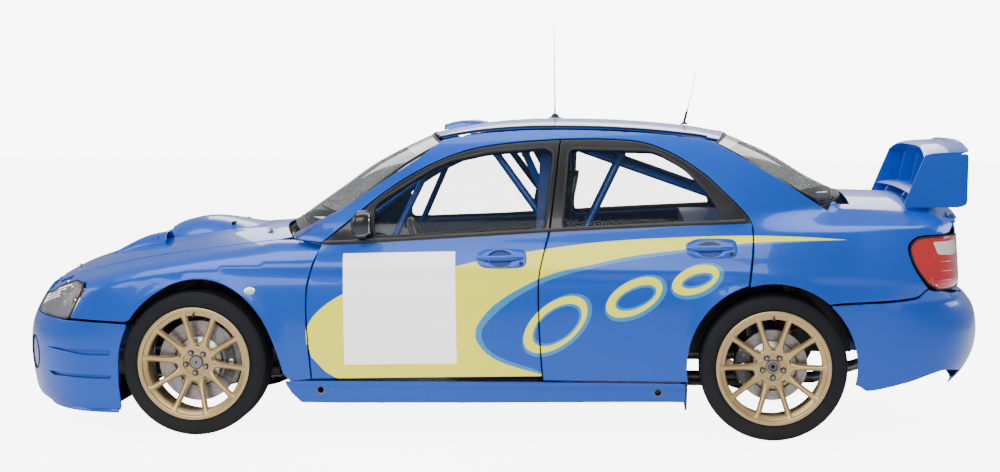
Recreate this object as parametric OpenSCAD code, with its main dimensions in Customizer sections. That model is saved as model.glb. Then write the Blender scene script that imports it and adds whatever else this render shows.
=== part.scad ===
/* [Overall] */
// Overall length over both bumpers
length = 4400; // [4340:1:4460]
// From the front bumper's tip to the front axle
front_overhang = 908; // [890:1:930]
// Distance between the axles
wheelbase = 2535; // [2490:1:2580]
// Distance between the tyres' middle planes on one axle
track = 1540; // [1524:1:1548]
// Thickness of the single skins: wings, bumpers, roof
skin = 10; // [6:1:13]
// Thickness of a whole door below its glass
door_depth = 75; // [60:1:88]
// Thickness of a door's window frame
frame_depth = 42; // [35:1:50]
// Gap between neighbouring panels
shut_gap = 6; // [5:0.5:8]
// Thickness of the glass
glass_t = 4; // [3:0.5:6]

/* [Wheels] */
// Radius of the tyre's tread
tyre_r = 320; // [300:1:326]
// Width of the tyre
tyre_w = 225; // [190:1:232]
// Radius of the wheel rim's outer lip
lip_r = 248; // [242:1:256]
// Radius of the rim's seat for the tyre
bead_r = 230; // [226:1:234]
// Number of spokes
spokes = 10; // [8:2:12]
// Radius of a front brake disc
front_disc_r = 178; // [160:1:184]
// Radius of a rear brake disc
rear_disc_r = 154; // [140:1:165]
// Brake disc thickness
disc_w = 30; // [25:1:34]
// Radius of the hub's shaft in its bearing
hub_r = 30; // [25:1:36]

/* [Steering] */
// Lean of the steering axis towards the car's middle, in degrees
kingpin = 10.5; // [9:0.5:12]
// Radius of the damper struts
strut_r = 24; // [20:1:26]
// Radius of the steering wheel
steering_wheel_r = 165; // [138:1:190]

/* [Cage and jack points] */
// Radius of the roll cage tubes
cage_r = 20; // [17:1:24]
// Radius of the bore that takes the jack's pin
jack_bore_r = 14; // [11:0.5:17]
// Wall of the jack point's tube
jack_wall = 5; // [4:0.5:7]
// Length of the jack point's tube
jack_l = 70; // [58:1:84]

/* [Hidden] */
$fn = 48;
fit = 0.05;
seat = 0.3;
front_x = length / 2 - front_overhang;
rear_x = front_x - wheelbase;
axle_z = tyre_r;
wheel_y = track / 2;

blue = "#1565c8";
black = "#1d1e20";
grey = "#77797c";
steel = "#55524f";

// ---- curves through chosen points ----
function seg(t, x, i = 0) = (i >= len(t) - 2 || x < t[i + 1][0]) ? i : seg(t, x, i + 1);
function slope(t, i) = let(a = max(0, i - 1), b = min(len(t) - 1, i + 1)) (t[b][1] - t[a][1]) / (t[b][0] - t[a][0]);
// Smooth curve through the points [x, value] of t, level beyond its ends
function curve(t, x) =
  let(i = seg(t, x), h = t[i + 1][0] - t[i][0], s = min(1, max(0, (x - t[i][0]) / h)),
      a = t[i][1], b = t[i + 1][1], m = slope(t, i) * h, n = slope(t, i + 1) * h)
  a * (1 + 2 * s) * (1 - s) * (1 - s) + m * s * (1 - s) * (1 - s) + b * s * s * (3 - 2 * s) + n * s * s * (s - 1);
function steps(a, b, n) = [for (i = [0 : n]) a + (b - a) * i / n];
function ease(t) = t <= 0 ? 0 : t >= 1 ? 1 : t * t * (3 - 2 * t);
function back(l) = [for (i = [len(l) - 1 : -1 : 0]) l[i]];
function flat(l) = [for (a = l) for (b = a) b];

// ---- the body's outer surfaces ----
nose_start = front_x + 328;
tail_start = rear_x - 377;
nose_w = 872;
tail_w = 862;
waist = 870;
width_line = [[tail_start, tail_w], [rear_x, 885], [rear_x + 393, 862], [-500, 850], [0, 848], [500, 850],
  [front_x - 492, 858], [front_x, 885], [nose_start, nose_w]];
// How far the nose and the tail lie behind the bumpers' tips, against height
nose_setback = [[90, 115], [135, 40], [196, 16], [298, 2], [400, 0], [461, 10], [510, 30], [560, 58], [600, 85],
  [640, 120], [670, 165], [700, 225]];
tail_setback = [[215, 120], [272, 60], [344, 18], [415, 0], [495, 2], [566, 22], [619, 68], [640, 105], [700, 112],
  [850, 122], [950, 130], [1000, 145]];
function nose_reach(z) = length / 2 - curve(nose_setback, z) - nose_start;
function tail_reach(z) = length / 2 - curve(tail_setback, z) + tail_start;
nose_power = 2.3;
function tail_power(z) = z < 600 ? 3 : z > 680 ? 4.6 : 3 + (z - 600) * 0.02;
function plan_y(x, z) =
  x > nose_start ? nose_w * pow(max(0, 1 - pow((x - nose_start) / nose_reach(z), nose_power)), 1 / nose_power) :
  x < tail_start ? let(p = tail_power(z)) tail_w * pow(max(0, 1 - pow((tail_start - x) / tail_reach(z), p)), 1 / p) :
  curve(width_line, x);
function belt_z(x) = 878 - 0.054 * x;
// How far the side leans in, against the height over the belt line
side_lean = [[-790, 34], [-640, 12], [-480, 2], [-320, 0], [-190, 7], [-90, 24], [0, 55], [100, 90], [200, 132],
  [300, 182], [400, 242], [480, 300]];
function taper(x, h) =
  ease((h + 60) / 120) * (x > 400 ? 0.00035 * pow(min(x, 900) - 400, 2) : x < -900 ? 0.00038 * pow(max(x, -1500) + 900, 2) : 0);
function lean(x, z) = let(h = z - belt_z(x)) (curve(side_lean, h) + taper(x, h)) / waist;
// Half width of the side, from the sill to the roof
function side_y(x, z) = plan_y(x, z) * (1 - lean(x, z));

bonnet_line = [[1000, 905], [1300, 868], [1500, 836], [1700, 795], [1907, 732], [2040, 668], [2085, 636], [2130, 590]];
boot_line = [[-2060, 1000], [-2000, 1028], [-1900, 1043], [-1750, 1050], [-1500, 1056]];
roof_line = [[-1035, 1330], [-900, 1355], [-600, 1382], [-250, 1390], [0, 1378], [193, 1350], [291, 1325]];
function bonnet_z(x, y) = curve(bonnet_line, x + 0.00012 * y * y) - 62 * pow(abs(y) / 700, 2.6);
function boot_z(x, y) = curve(boot_line, x - 0.0001 * y * y) - 62 * pow(abs(y) / 700, 2.4);
function roof_z(x, y) = curve(roof_line, x) - 34 * pow(abs(y) / 580, 2.2);
// The screens' middle lines, as x against height, and their bow
screen_line = [[866, 1010], [960, 896], [1069, 743], [1183, 581], [1259, 438], [1325, 291], [1345, 240]];
back_line = [[1040, -1605], [1056, -1578], [1123, -1444], [1238, -1251], [1330, -1035], [1345, -990]];
function screen_x(y, z) = curve(screen_line, z) - (0.00039 + 0.00000022 * (z - 866)) * y * y;
function back_x(y, z) = curve(back_line, z) + 0.00037 * y * y;
screen_edge = [[866, 820], [999, 632], [1124, 452], [1212, 324], [1283, 222]];
back_edge = [[988, -1515], [1037, -1412], [1109, -1297], [1217, -1118], [1303, -958]];
// Half width of the screens, just inside the pillars
function screen_half(z) = side_y(curve(screen_edge, z), z) - 16;
function back_half(z) = side_y(curve(back_edge, z), z) - 16;
screen_low = 915;
screen_high = 1320;
function screen_foot(t) = screen_low - 46 * t * t;
function screen_head(t) = screen_high - 36 * t * t;
back_low = 1052;
back_high = 1320;
function back_foot(t) = back_low - 56 * t * t;
function back_head(t) = back_high - 34 * t * t;

// ---- solids from point grids ----
// A closed shell between an outer and an inner grid of points
module shell(o, i) {
  m = len(o) - 2;
  n = len(o[0]);
  s = len(o) * n;
  e = m + 1;
  polyhedron(concat(flat(o), flat(i)), concat(
    [for (a = [0 : m]) for (b = [0 : n - 2]) [a * n + b, a * n + n + b, a * n + n + b + 1]],
    [for (a = [0 : m]) for (b = [0 : n - 2]) [a * n + b, a * n + n + b + 1, a * n + b + 1]],
    [for (a = [0 : m]) for (b = [0 : n - 2]) [s + a * n + b, s + a * n + n + b + 1, s + a * n + n + b]],
    [for (a = [0 : m]) for (b = [0 : n - 2]) [s + a * n + b, s + a * n + b + 1, s + a * n + n + b + 1]],
    [for (a = [0 : m]) [a * n, s + a * n, s + a * n + n]],
    [for (a = [0 : m]) [a * n, s + a * n + n, a * n + n]],
    [for (a = [0 : m]) let(k = n - 1) [a * n + k, s + a * n + n + k, s + a * n + k]],
    [for (a = [0 : m]) let(k = n - 1) [a * n + k, a * n + n + k, s + a * n + n + k]],
    [for (b = [0 : n - 2]) [b, b + 1, s + b + 1]],
    [for (b = [0 : n - 2]) [b, s + b + 1, s + b]],
    [for (b = [0 : n - 2]) [e * n + b, s + e * n + b + 1, e * n + b + 1]],
    [for (b = [0 : n - 2]) [e * n + b, s + e * n + b, s + e * n + b + 1]]));
}
// A solid through rings of points, closed at both ends
module loft(rings) {
  n = len(rings[0]);
  last = (len(rings) - 1) * n;
  polyhedron(flat(rings), concat(
    [[for (k = [0 : n - 1]) k]],
    [[for (k = [n - 1 : -1 : 0]) last + k]],
    [for (r = [0 : len(rings) - 2]) for (k = [0 : n - 1]) [r * n + (k + 1) % n, r * n + k, r * n + n + k]],
    [for (r = [0 : len(rings) - 2]) for (k = [0 : n - 1])
      [r * n + (k + 1) % n, r * n + n + k, r * n + n + (k + 1) % n]]));
}
// The left side between two depths below its surface
module side_shell(x0, x1, z0, z1, top = 0, bottom = 10, pitch = 110, rise = 85) {
  xs = steps(x0, x1, ceil(abs(x1 - x0) / pitch));
  zs = steps(z0, z1, ceil((z1 - z0) / rise));
  shell([for (x = xs) [for (z = zs) [x, side_y(x, z) - top, z]]],
    [for (x = xs) [for (z = zs) [x, side_y(x, z) - bottom, z]]]);
}
function nose_point(t, z, d) = [nose_start + (nose_reach(z) - d) * pow(abs(cos(t)), 2 / nose_power),
  sign(t) * (nose_w * (1 - lean(nose_start, z)) - d) * pow(abs(sin(t)), 2 / nose_power), z];
function tail_point(t, z, d) = let(p = tail_power(z)) [tail_start - (tail_reach(z) - d) * pow(abs(cos(t)), 2 / p),
  sign(t) * (tail_w * (1 - lean(tail_start, z)) - d) * pow(abs(sin(t)), 2 / p), z];
// The nose all round between two depths below its surface
module nose_shell(z0, z1, top = 0, bottom = 10, rise = 45) {
  ts = steps(-90, 90, 18);
  zs = steps(z1, z0, ceil((z1 - z0) / rise));
  shell([for (t = ts) [for (z = zs) nose_point(t, z, top)]], [for (t = ts) [for (z = zs) nose_point(t, z, bottom)]]);
}
module tail_shell(z0, z1, top = 0, bottom = 10, rise = 50) {
  ts = steps(-90, 90, 18);
  zs = steps(z0, z1, ceil((z1 - z0) / rise));
  shell([for (t = ts) [for (z = zs) tail_point(t, z, top)]], [for (t = ts) [for (z = zs) tail_point(t, z, bottom)]]);
}
// Keeps a panel that is cut from a shell as one mesh
module pressed() { resize([0, 0, 0]) children(); }
module both_sides() {
  children();
  mirror([0, 1, 0]) children();
}
module on_side(side) { mirror([0, side > 0 ? 0 : 1, 0]) children(); }
// An outline drawn in x and z, carried across one side of the car
module side_prism(points, grow = 0, y0 = 150, y1 = 1100)
  translate([0, y1, 0]) rotate([90, 0, 0]) linear_extrude(y1 - y0) offset(delta = grow) polygon(points);
module plan_prism(points, grow = 0, z0 = 50, z1 = 1500)
  translate([0, 0, z0]) linear_extrude(z1 - z0) offset(delta = grow) polygon(points);
module tube(a, b, r) {
  d = b - a;
  translate(a) rotate([0, acos(d.z / norm(d)), atan2(d.y, d.x)]) cylinder(r = r, h = norm(d));
}
module slab(low, high) { translate(low) cube(high - low); }

// ---- panel seams, in x and z ----
sill_top = 250;
skirt_bottom = 145;
wing_seam = [[738, 848], [772, 749], [795, 653], [797, 519], [786, 366], [775, sill_top]];
door_seam = [[-310, 1303], [-268, 903], [-251, 834], [-225, 704], [-225, 532], [-234, 359], [-243, sill_top]];
frame_front = [[-100, 1288], [100, 1255], [272, 1188], [448, 1083], [642, 925]];
frame_rear = [[-1150, 944], [-1119, 988], [-1029, 1078], [-939, 1158], [-805, 1242], [-671, 1291], [-493, 1305]];
quarter_seam = [[-1148, 776], [-1153, 864]];
rear_arch_r = 363;
front_arch = [[-25, 367], [-6, 342], [32, 342], [62, 350], [76, 361], [92, 370], [106, 372], [123, 365], [138, 358],
  [156, 355], [172, 365], [187, 394], [196, 442]];
function arch_point(a, grow) = let(r = curve(front_arch, a) + grow) [front_x + r * cos(a), axle_z + r * sin(a)];
function front_arc(a, b, grow = 0) = [for (t = steps(a, b, ceil(abs(b - a) / 13))) arch_point(t, grow)];
function rear_arc(a, b, grow = 0) =
  [for (t = steps(a, b, ceil(abs(b - a) / 13))) [rear_x + (rear_arch_r + grow) * cos(t), axle_z + (rear_arch_r + grow) * sin(t)]];
front_door_outline = concat(wing_seam, back(door_seam), frame_front);
rear_door_outline = concat(door_seam, rear_arc(-11, 73, 8), quarter_seam, frame_rear);
front_glass = [[507, 874], [512, 1012], [445, 1058], [270, 1167], [182, 1207], [7, 1246], [-250, 1266], [-284, 1240],
  [-250, 903]];
rear_glass = [[-324, 908], [-345, 1262], [-725, 1254], [-850, 1185], [-957, 1078], [-1002, 1007], [-1029, 944]];
headlight_outline = [[1876, 502], [1803, 642], [1809, 668], [1844, 678], [1913, 656], [2010, 608], [2110, 582],
  [2140, 560], [2110, 522], [1990, 506]];
headlight_inner = 470;

// Thickness of the bonnet with its frame, and the boot lid's front edge
bonnet_t = 22;
lid_front = -1592;

// ---- doors ----
frame_edge = 8;
frame_inset = 14;
hinge_front = [797 - shut_gap / 2, 860];
hinge_rear = [-225 - shut_gap / 2, 863];
module door(outline, glass, x0, x1) pressed() difference() {
  union() {
    intersection() {
      side_shell(x0, x1, 230, 1320, 0, frame_edge);
      side_prism(outline, -shut_gap / 2);
    }
    intersection() {
      side_shell(x0, x1, 230, 1320, frame_edge / 2, frame_depth, 260, 91);
      side_prism(outline, -shut_gap / 2 - frame_inset);
    }
    intersection() {
      side_shell(x0, x1, 230, 1020, frame_depth - 12, door_depth, 260, 91);
      side_prism(outline, -shut_gap / 2 - frame_inset);
      side_prism([[x0, 200], [x1, 200], [x1, belt_z(x1) - 12], [x0, belt_z(x0) - 12]]);
    }
  }
  side_prism(glass);
}
module pane(glass, x0, x1) pressed() intersection() {
  side_shell(x0, x1, 850, 1300, 8, 8 + glass_t, 110, 75);
  side_prism(glass, -seat);
}
module front_door(side) color(blue) on_side(side) door(front_door_outline, front_glass, -340, 830);
module rear_door(side) color(blue) on_side(side) door(rear_door_outline, rear_glass, -1190, -190);
module front_door_glass(side) color("#2a3036", 0.4) on_side(side) pane(front_glass, -300, 530);
module rear_door_glass(side) color("#2a3036", 0.4) on_side(side) pane(rear_glass, -1050, -310);
mirror_x = 545;
mirror_z = 940;
module door_mirror(side) color(black) on_side(side) pressed() {
  difference() {
    translate([mirror_x, 846, mirror_z]) resize([110, 112, 120]) sphere(r = 60, $fn = 24);
    translate([mirror_x - 100, 700, mirror_z - 100]) cube([68, 400, 200]);
  }
  difference() {
    slab([mirror_x - 8, 741, 868], [mirror_x + 32, 810, 912]);
    side_shell(mirror_x - 60, mirror_x + 80, 800, 960, -seat, 90, 70, 40);
  }
}

// ---- body panels ----
roof_edge = 560;
function rail_top(x) = curve(roof_line, x) - 41.9;
rail_line = [for (x = steps(217, -980, 11)) [x, rail_top(x)]];
pillar_outline = concat([[880, 861], [845, 872], [635, 1008], [457, 1133], [324, 1221]], rail_line,
  [[-980, 1180], [-300, 1150], [500, 900], [700, 861]]);
c_pillar_outline = concat([[-980, 1150], [-980, rail_top(-980)], [-1010, 1283], [-1123, 1221], [-1304, 1113],
  [-1484, 996], [-1540, 965]], [[-1540, 930], [-1120, 930]]);
pillar_depth = 48;
sill_lid = 242;
b_post = [[-330, 1330], [-215, 1330], [-185, sill_lid + seat], [-300, sill_lid + seat]];
hinge_post = [[806, sill_lid + seat], [806, 868], [856, 868], [856, sill_lid + seat]];
function bracket(x, z) = [[x - 45, z - 30], [x - 45, z + 30], [x + 30, z + 30], [x + 30, z - 30]];
module pillars() color(blue) pressed() both_sides() difference() {
  union() {
    difference() {
      intersection() {
        side_shell(-985, 890, 800, 1380, 0, pillar_depth, 125, 73);
        side_prism(pillar_outline);
      }
      side_prism(front_door_outline, shut_gap / 2, 500);
      side_prism(rear_door_outline, shut_gap / 2, 500);
    }
    intersection() {
      side_shell(-360, -170, 200, 1340, door_depth + 12, door_depth + 47, 110, 110);
      side_prism(b_post);
    }
    intersection() {
      side_shell(-360, -170, 1200, 1350, 20, door_depth + 47, 110, 50);
      side_prism([[-330, 1312], [-330, 1338], [-215, 1338], [-215, 1312]]);
    }
    intersection() {
      side_shell(760, 900, 160, 880, skin + 20, door_depth + 40, 110, 110);
      side_prism(hinge_post);
    }
    // brackets that carry the doors at their hinges
    for (z = [400, 650]) {
      intersection() {
        side_shell(700, 900, 300, 800, door_depth + 2 * seat, door_depth + 40, 110, 110);
        side_prism(bracket(780, z));
      }
      intersection() {
        side_shell(-360, -170, 300, 800, door_depth + 2 * seat, door_depth + 20, 110, 110);
        side_prism(bracket(-262, z));
      }
    }
  }
  windscreen_solid(90, glass_t * slant + seat, seat);
}
module roof_shell(top, bottom) {
  xs = steps(291, -1035, 12);
  ys = steps(-roof_edge, roof_edge, 10);
  shell([for (x = xs) [for (y = ys) [x, y, roof_z(x, y) + top]]], [for (x = xs) [for (y = ys) [x, y, roof_z(x, y) + bottom]]]);
}
module roof_panel() color(blue) pressed() intersection() {
  roof_shell(0, -skin);
  plan_prism(concat([for (y = steps(-roof_edge, roof_edge, 8)) [screen_x(y, 1320 - 36 * pow(y / 590, 2)) - seat - 7, y]],
    [for (y = steps(roof_edge, -roof_edge, 8)) [back_x(y, 1320 - 34 * pow(y / 590, 2)) + 9, y]]));
}
vent_x = 62;
vent_l = 200;
module roof_vent() color(black) difference() {
  translate([vent_x, 110, 0]) rotate([90, 0, 0]) linear_extrude(220) polygon([[0, 1370], [0, 1400], [vent_l * 0.6, 1392],
    [vent_l, 1350], [vent_l, 1336], [vent_l * 0.5, 1356]]);
  slab([vent_x + 40, -98, 1364], [vent_x + vent_l + 10, 98, 1386]);
  roof_shell(seat, -60);
}
deck_edge = 598;
function bonnet_edge(x) = curve([[850, 650], [1300, 646], [1700, 612], [1900, 560], [2060, 470]], x);
// Cross-section of a front wing: its top strip and then its side
function wing_section(x, d) = concat(
  [for (y = steps(bonnet_edge(x) + shut_gap / 2, 730 - max(0, x - 1500) * 0.12, 3)) [x, y, bonnet_z(x, y) - d]],
  let(zt = bonnet_z(x, 740 - max(0, x - 1500) * 0.12) - 12)
  [for (z = steps(zt, 240, 7)) [x, side_y(x, z) - d, z]]);
front_wing_outline = concat(back(wing_seam), [[738, 900], [860, 1000], [1600, 1000], [1940, 800], [1917, 664], [1844, 686],
  [1800, 674], [1793, 642], [1864, 508], [1840, 508], [1601, 499]], front_arc(33, 187), [[896, sill_top]]);
module front_wings() color(blue) pressed() both_sides() intersection() {
  xs = steps(1940, 745, 14);
  shell([for (x = xs) wing_section(x, 0)], [for (x = xs) wing_section(x, skin)]);
  side_prism(front_wing_outline, -shut_gap / 2);
  both_sides() translate([0, 0, 100]) linear_extrude(1000) polygon([[700, 728], [873, 728], [873, 400], [2300, 400], [2300, 1000], [700, 1000]]);
}
function quarter_section(x, d) = concat(
  [for (y = steps(deck_edge + shut_gap / 2, 680, 2)) [x, y, boot_z(x, y) - d]],
  let(zt = boot_z(x, 690) - 8) [for (z = steps(zt, 240, 8)) [x, side_y(x, z) - d, z]]);
quarter_outline = concat([[-1157, 975], [-1480, 1100], [-2010, 1100], [-2010, 664], [-1904, 667], [-1852, 626],
  [-1492, 597]], rear_arc(131, 73), quarter_seam, [[-1150, 948]]);
module quarter_panels() color(blue) pressed() difference() {
  both_sides() quarter_side();
  rear_window_solid(90, glass_t * slant + seat, seat);
}
module quarter_side() {
  intersection() {
    union() {
      intersection() {
        side_shell(-1540, -1120, 560, 990, 0, skin, 85, 72);
        side_prism([[-1100, 200], [-1100, 960], [-1500, 960], [-1500, 200]]);
      }
      shell([for (x = steps(-1480, -2000, 7)) quarter_section(x, 0)], [for (x = steps(-1480, -2000, 7)) quarter_section(x, skin)]);
    }
    difference() {
      side_prism(quarter_outline, -shut_gap / 2);
      side_prism(tail_light_outline, seat, 400);
    }
  }
  difference() {
    intersection() {
      side_shell(-1550, -960, 930, 1370, 0, pillar_depth, 95, 60);
      side_prism(c_pillar_outline);
    }
    side_prism(rear_door_outline, shut_gap / 2, 400);
  }
}
bumper_seam = [[2300, 636], [2000, 634], [2000, 500], [1840, 500], [1596, 488], [1570, 500]];
bumper_outline = concat([[2300, 60], [2300, 640], [1990, 640], [1990, 508], [1876, 498], [1840, 500], [1596, 491]],
  front_arc(30, -28), [[1624, 60]]);
mouth = [[-330, 190], [330, 190], [390, 400], [-390, 400]];
module nose_prism(points) translate([1900, 0, 0]) rotate([90, 0, 90]) linear_extrude(600) polygon(points);
fog_r = 78;
fog_y = 560;
fog_z = 330;
module front_bumper() color(blue) pressed() difference() {
  union() {
    nose_shell(95, 636);
    both_sides() side_shell(1590, 1632, 95, 500);
  }
  both_sides() {
    side_prism(headlight_outline, 2 * seat, headlight_inner - seat);
    side_prism([[1500, 499], [1500, 700], [2005, 700], [2005, 507], [1876, 499]], 0, headlight_inner);
    side_prism(concat(front_arc(40, -35), [[front_x, 20], [front_x, 560]]), 0, 400);
  }
  nose_prism(mouth);
  nose_prism([[-250, 515], [250, 515], [215, 605], [-215, 605]]);
  both_sides() translate([1700, fog_y, fog_z]) rotate([0, 90, 0]) cylinder(r = fog_r, h = 600);
}
module front_grille() color(black) {
  intersection() {
    nose_shell(170, 430, skin + 0.9, skin + 7);
    nose_prism([[-395, 175], [395, 175], [430, 420], [-430, 420]]);
  }
  intersection() {
    nose_shell(500, 630, skin + 0.9, skin + 7);
    nose_prism([[-262, 510], [262, 510], [228, 618], [-228, 618]]);
  }
  both_sides() translate([2000, fog_y, fog_z]) rotate([0, 90, 0]) cylinder(r = fog_r - seat, h = 75);
}
tail_pipe_r = 42;
tail_pipe_y = -330;
tail_pipe_z = 240;
rear_seam = [[-2300, 640], [-1930, 655], [-1904, 660], [-1852, 619], [-1492, 590]];
module rear_bumper() color(blue) pressed() difference() {
  intersection() {
    union() {
      tail_shell(215, 640, 0, skin, 47);
      both_sides() side_shell(-1628, -1480, 215, 640, 0, skin, 74, 85);
      // shelf below the boot lid
      intersection() {
        tail_shell(630, 640, 0, 130, 20);
        plan_prism([[-2300, -560], [-2300, 560], [-1950, 560], [-1950, -560]]);
      }
    }
    union() {
      both_sides() side_prism(concat(back(rear_seam), [[-2300, 200]], [[-2150, 215], [-1990, 300], [-1814, 252], [-1649, 217],
        [-1622, 234]], rear_arc(194, 131)), 0, -1, 1100);
    }
  }
  both_sides() side_prism(concat(rear_arc(200, 100), [[rear_x, axle_z]]), 0, 400);
  translate([-2300, tail_pipe_y, tail_pipe_z]) rotate([0, 90, 0]) cylinder(r = tail_pipe_r + 8, h = 500);
}
liner_t = 6;
front_liner_r = 386;
rear_liner_r = 372;
liner_in = 462;
tower_y = 562;
tower_top = 774;
tower_r = 72;
module liner(x, r, y1, a) translate([x, y1, axle_z]) rotate([90, 0, 0]) {
  rotate([0, 0, a]) rotate_extrude(angle = 180 - 2 * a) translate([r, 0]) square([liner_t, y1 - liner_in]);
  difference() {
    translate([0, 0, y1 - liner_in - liner_t]) intersection() {
      cylinder(r = r + 1, h = liner_t);
      translate([-500, 25, -1]) cube([1000, 500, liner_t + 2]);
    }
    translate([-95, -200, 0]) cube([190, 420, 2 * y1]);
  }
}
module wheel_housings() color(black) both_sides() {
  difference() {
    liner(front_x, front_liner_r, 745, 20);
    translate([front_x, tower_y, 500]) cylinder(r = tower_r - liner_t, h = 400);
  }
  difference() {
    translate([front_x, tower_y, 660]) cylinder(r = tower_r, h = tower_top - 660);
    translate([front_x, tower_y, 650]) cylinder(r = tower_r - liner_t, h = tower_top - liner_t - 650);
    translate([front_x, 900, axle_z]) rotate([90, 0, 0]) cylinder(r = front_liner_r + 1, h = 600);
  }
  difference() {
    liner(rear_x, rear_liner_r, 845, 14);
    translate([rear_x - 75, 540, 500]) cylinder(r = 45, h = 400);
  }
  // rear damper towers
  difference() {
    translate([rear_x - 75, 540, 650]) cylinder(r = 51, h = 130);
    translate([rear_x - 75, 540, 640]) cylinder(r = 45, h = 134);
    translate([rear_x, 900, axle_z]) rotate([90, 0, 0]) cylinder(r = rear_liner_r + 1, h = 600);
  }
}
tunnel_w = 200;
tunnel_top = 322;
pan_t = 8;
pan_z = 172;
beam_z = 400;
module floor_pan() color(grey) {
  difference() {
    translate([0, 0, pan_z]) linear_extrude(pan_t) polygon([[-860, -712], [-860, 712], [812, 712], [880, 455],
      [900 - seat, 455], [900 - seat, -455], [880, -455], [812, -712]]);
    slab([-870, -tunnel_w / 2, 160], [880, tunnel_w / 2, 200]);
  }
  difference() {
    slab([-860, -tunnel_w / 2 - pan_t, pan_z], [880, tunnel_w / 2 + pan_t, tunnel_top + pan_t]);
    slab([-861, -tunnel_w / 2, pan_z - 1], [881, tunnel_w / 2, tunnel_top]);
  }
  both_sides() {
    slab([908 + seat, 370 + seat, 350], [2030, liner_in - seat, 430]);
    slab([-2040, 375, 350], [-868, liner_in - seat, 400]);
    slab([2060, 60, 424], [2177.6, 110, 450]);
    slab([-2184.6, 80, 405], [-2070, 140, 440]);
  }
  slab([-2040, -440, 400], [-860, 440, 400 + pan_t]);
  difference() {
    slab([-868, -712, pan_z], [-860, 712, 400]);
    slab([-870, -tunnel_w / 2, 160], [-850, tunnel_w / 2, tunnel_top]);
  }
  slab([2030, -462, 400], [2060, 462, 450]);
  slab([-2070, -600, 390], [-2040, 600, 460]);
}
lid_pad_z = boot_z(lid_front - 50, 120) - 30 - 3 * seat;
bonnet_pad_z = bonnet_z(920, 610) - bonnet_t - 4 * seat;
module bulkheads() color(blue) {
  difference() {
    slab([900, -452, 180], [908, 452, 830]);
    slab([899, -100, 170], [909, 100, 322]);
  }
  slab([862, -655, 640], [900, 655, 800]);
  slab([-868, -640, 408 + seat], [-860, 640, 850]);
  slab([-1540, -590, 930], [-860, 590, 938]);
  slab([-1560, -590, 930], [-1540, 590, 1000]);
  slab([-868, -590, 849], [-860, 590, 931]);
  // pads that carry the bonnet and the boot lid at their hinges
  both_sides() {
    slab([892, 570, 760], [920, 610, bonnet_pad_z]);
    slab([lid_front - 50, 60, 980], [-1541, 120, lid_pad_z]);
  }
}
module sills() color(blue) both_sides() difference() {
  slab([-845, 712 + seat, 165], [858, 800, sill_lid]);
  slab([-860, 722, 172], [870, 792, sill_lid - 7]);
  for (x = [jack_front_x, jack_rear_x])
    translate([x, 1000, jack_z]) rotate([90, 0, 0]) cylinder(r = jack_bore_r + jack_wall + seat, h = 400);
}
jack_front_x = 735;
jack_rear_x = -745;
jack_z = 204;
jack_proud = 2;
module jack_tubes() color(steel) both_sides() for (x = [jack_front_x, jack_rear_x])
  translate([x, side_y(x, jack_z) + jack_proud, jack_z]) rotate([90, 0, 0]) difference() {
    cylinder(r = jack_bore_r + jack_wall, h = jack_l);
    translate([0, 0, -1]) cylinder(r = jack_bore_r, h = jack_l + 2);
  }
module side_skirts() color(blue) both_sides() difference() {
  intersection() {
    side_shell(-870, 892, skirt_bottom, sill_top - shut_gap, 0, skin, 176, 100);
    side_prism(concat([[-872, 160], [-872, 260], [896, 260], [888, 235], [868, 196], [821, 146], [650, 145], [0, 150]]));
  }
  for (x = [jack_front_x, jack_rear_x])
    translate([x, 1000, jack_z]) rotate([90, 0, 0]) cylinder(r = jack_bore_r + jack_wall + seat, h = 400);
}
function cowl_front(y) = 985 - 0.00025 * y * y;
module cowl_panel() color(black) pressed() {
  ys = steps(645, -645, 12);
  shell([for (y = ys) [for (u = [0 : 2]) [cowl_front(y) - 12 - u * (cowl_front(y) - 12 - screen_x(y, screen_foot(y / 700)) - seat) / 2, y,
      bonnet_z(cowl_front(y), y) - 16 - u * 3]]],
    [for (y = ys) [for (u = [0 : 2]) [cowl_front(y) - 12 - u * (cowl_front(y) - 12 - screen_x(y, screen_foot(y / 700)) - seat) / 2, y,
      bonnet_z(cowl_front(y), y) - 30 - u * 3]]]);
}
// A glass pane or the room for it: middle line f, foot and head heights, half width, from one depth to another
module screen(f, foot, head, wide, front, rear, sides = 0) {
  ts = steps(-1, 1, 10);
  us = steps(0, 1, 5);
  function z_at(u, t) = foot(t) + (head(t) - foot(t)) * u;
  function point(u, t, d) = let(z = z_at(u, t), y = t * (wide(z) + sides)) [f(y, z) + d, y, z];
  shell([for (u = us) [for (t = ts) point(u, t, front)]], [for (u = us) [for (t = ts) point(u, t, -rear)]]);
}
slant = 1.6;
module windscreen_solid(front, rear, sides = 0) screen(function(y, z) screen_x(y, z), function(t) screen_foot(t),
  function(t) screen_head(t), function(z) screen_half(z), front, rear, sides);
module rear_window_solid(front, rear, sides = 0) screen(function(y, z) back_x(y, z),
  function(t) back_foot(t), function(t) back_head(t), function(z) back_half(z), rear, front, sides);
module windscreen() color("#2a3036", 0.4) windscreen_solid(0, glass_t * slant);
module rear_window() color("#2a3036", 0.4) rear_window_solid(0, glass_t * slant);
module headlights() color("#cfd6dc") pressed() both_sides() intersection() {
  nose_shell(495, 690, 3, 60, 40);
  side_prism(headlight_outline, 0, headlight_inner);
}
tail_light_outline = [[-1826, 857], [-1863, 885], [-1978, 891], [-2100, 880], [-2100, 690], [-2040, 668], [-2015, 656], [-1949, 656],
  [-1899, 682], [-1848, 757], [-1823, 824]];
tail_light_inner = 520;
module tail_lights() color("#b01818") pressed() both_sides() intersection() {
  tail_shell(650, 895, 1, 60, 62);
  side_prism(tail_light_outline, 0, tail_light_inner);
}
antenna_tip = 1852;
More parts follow.
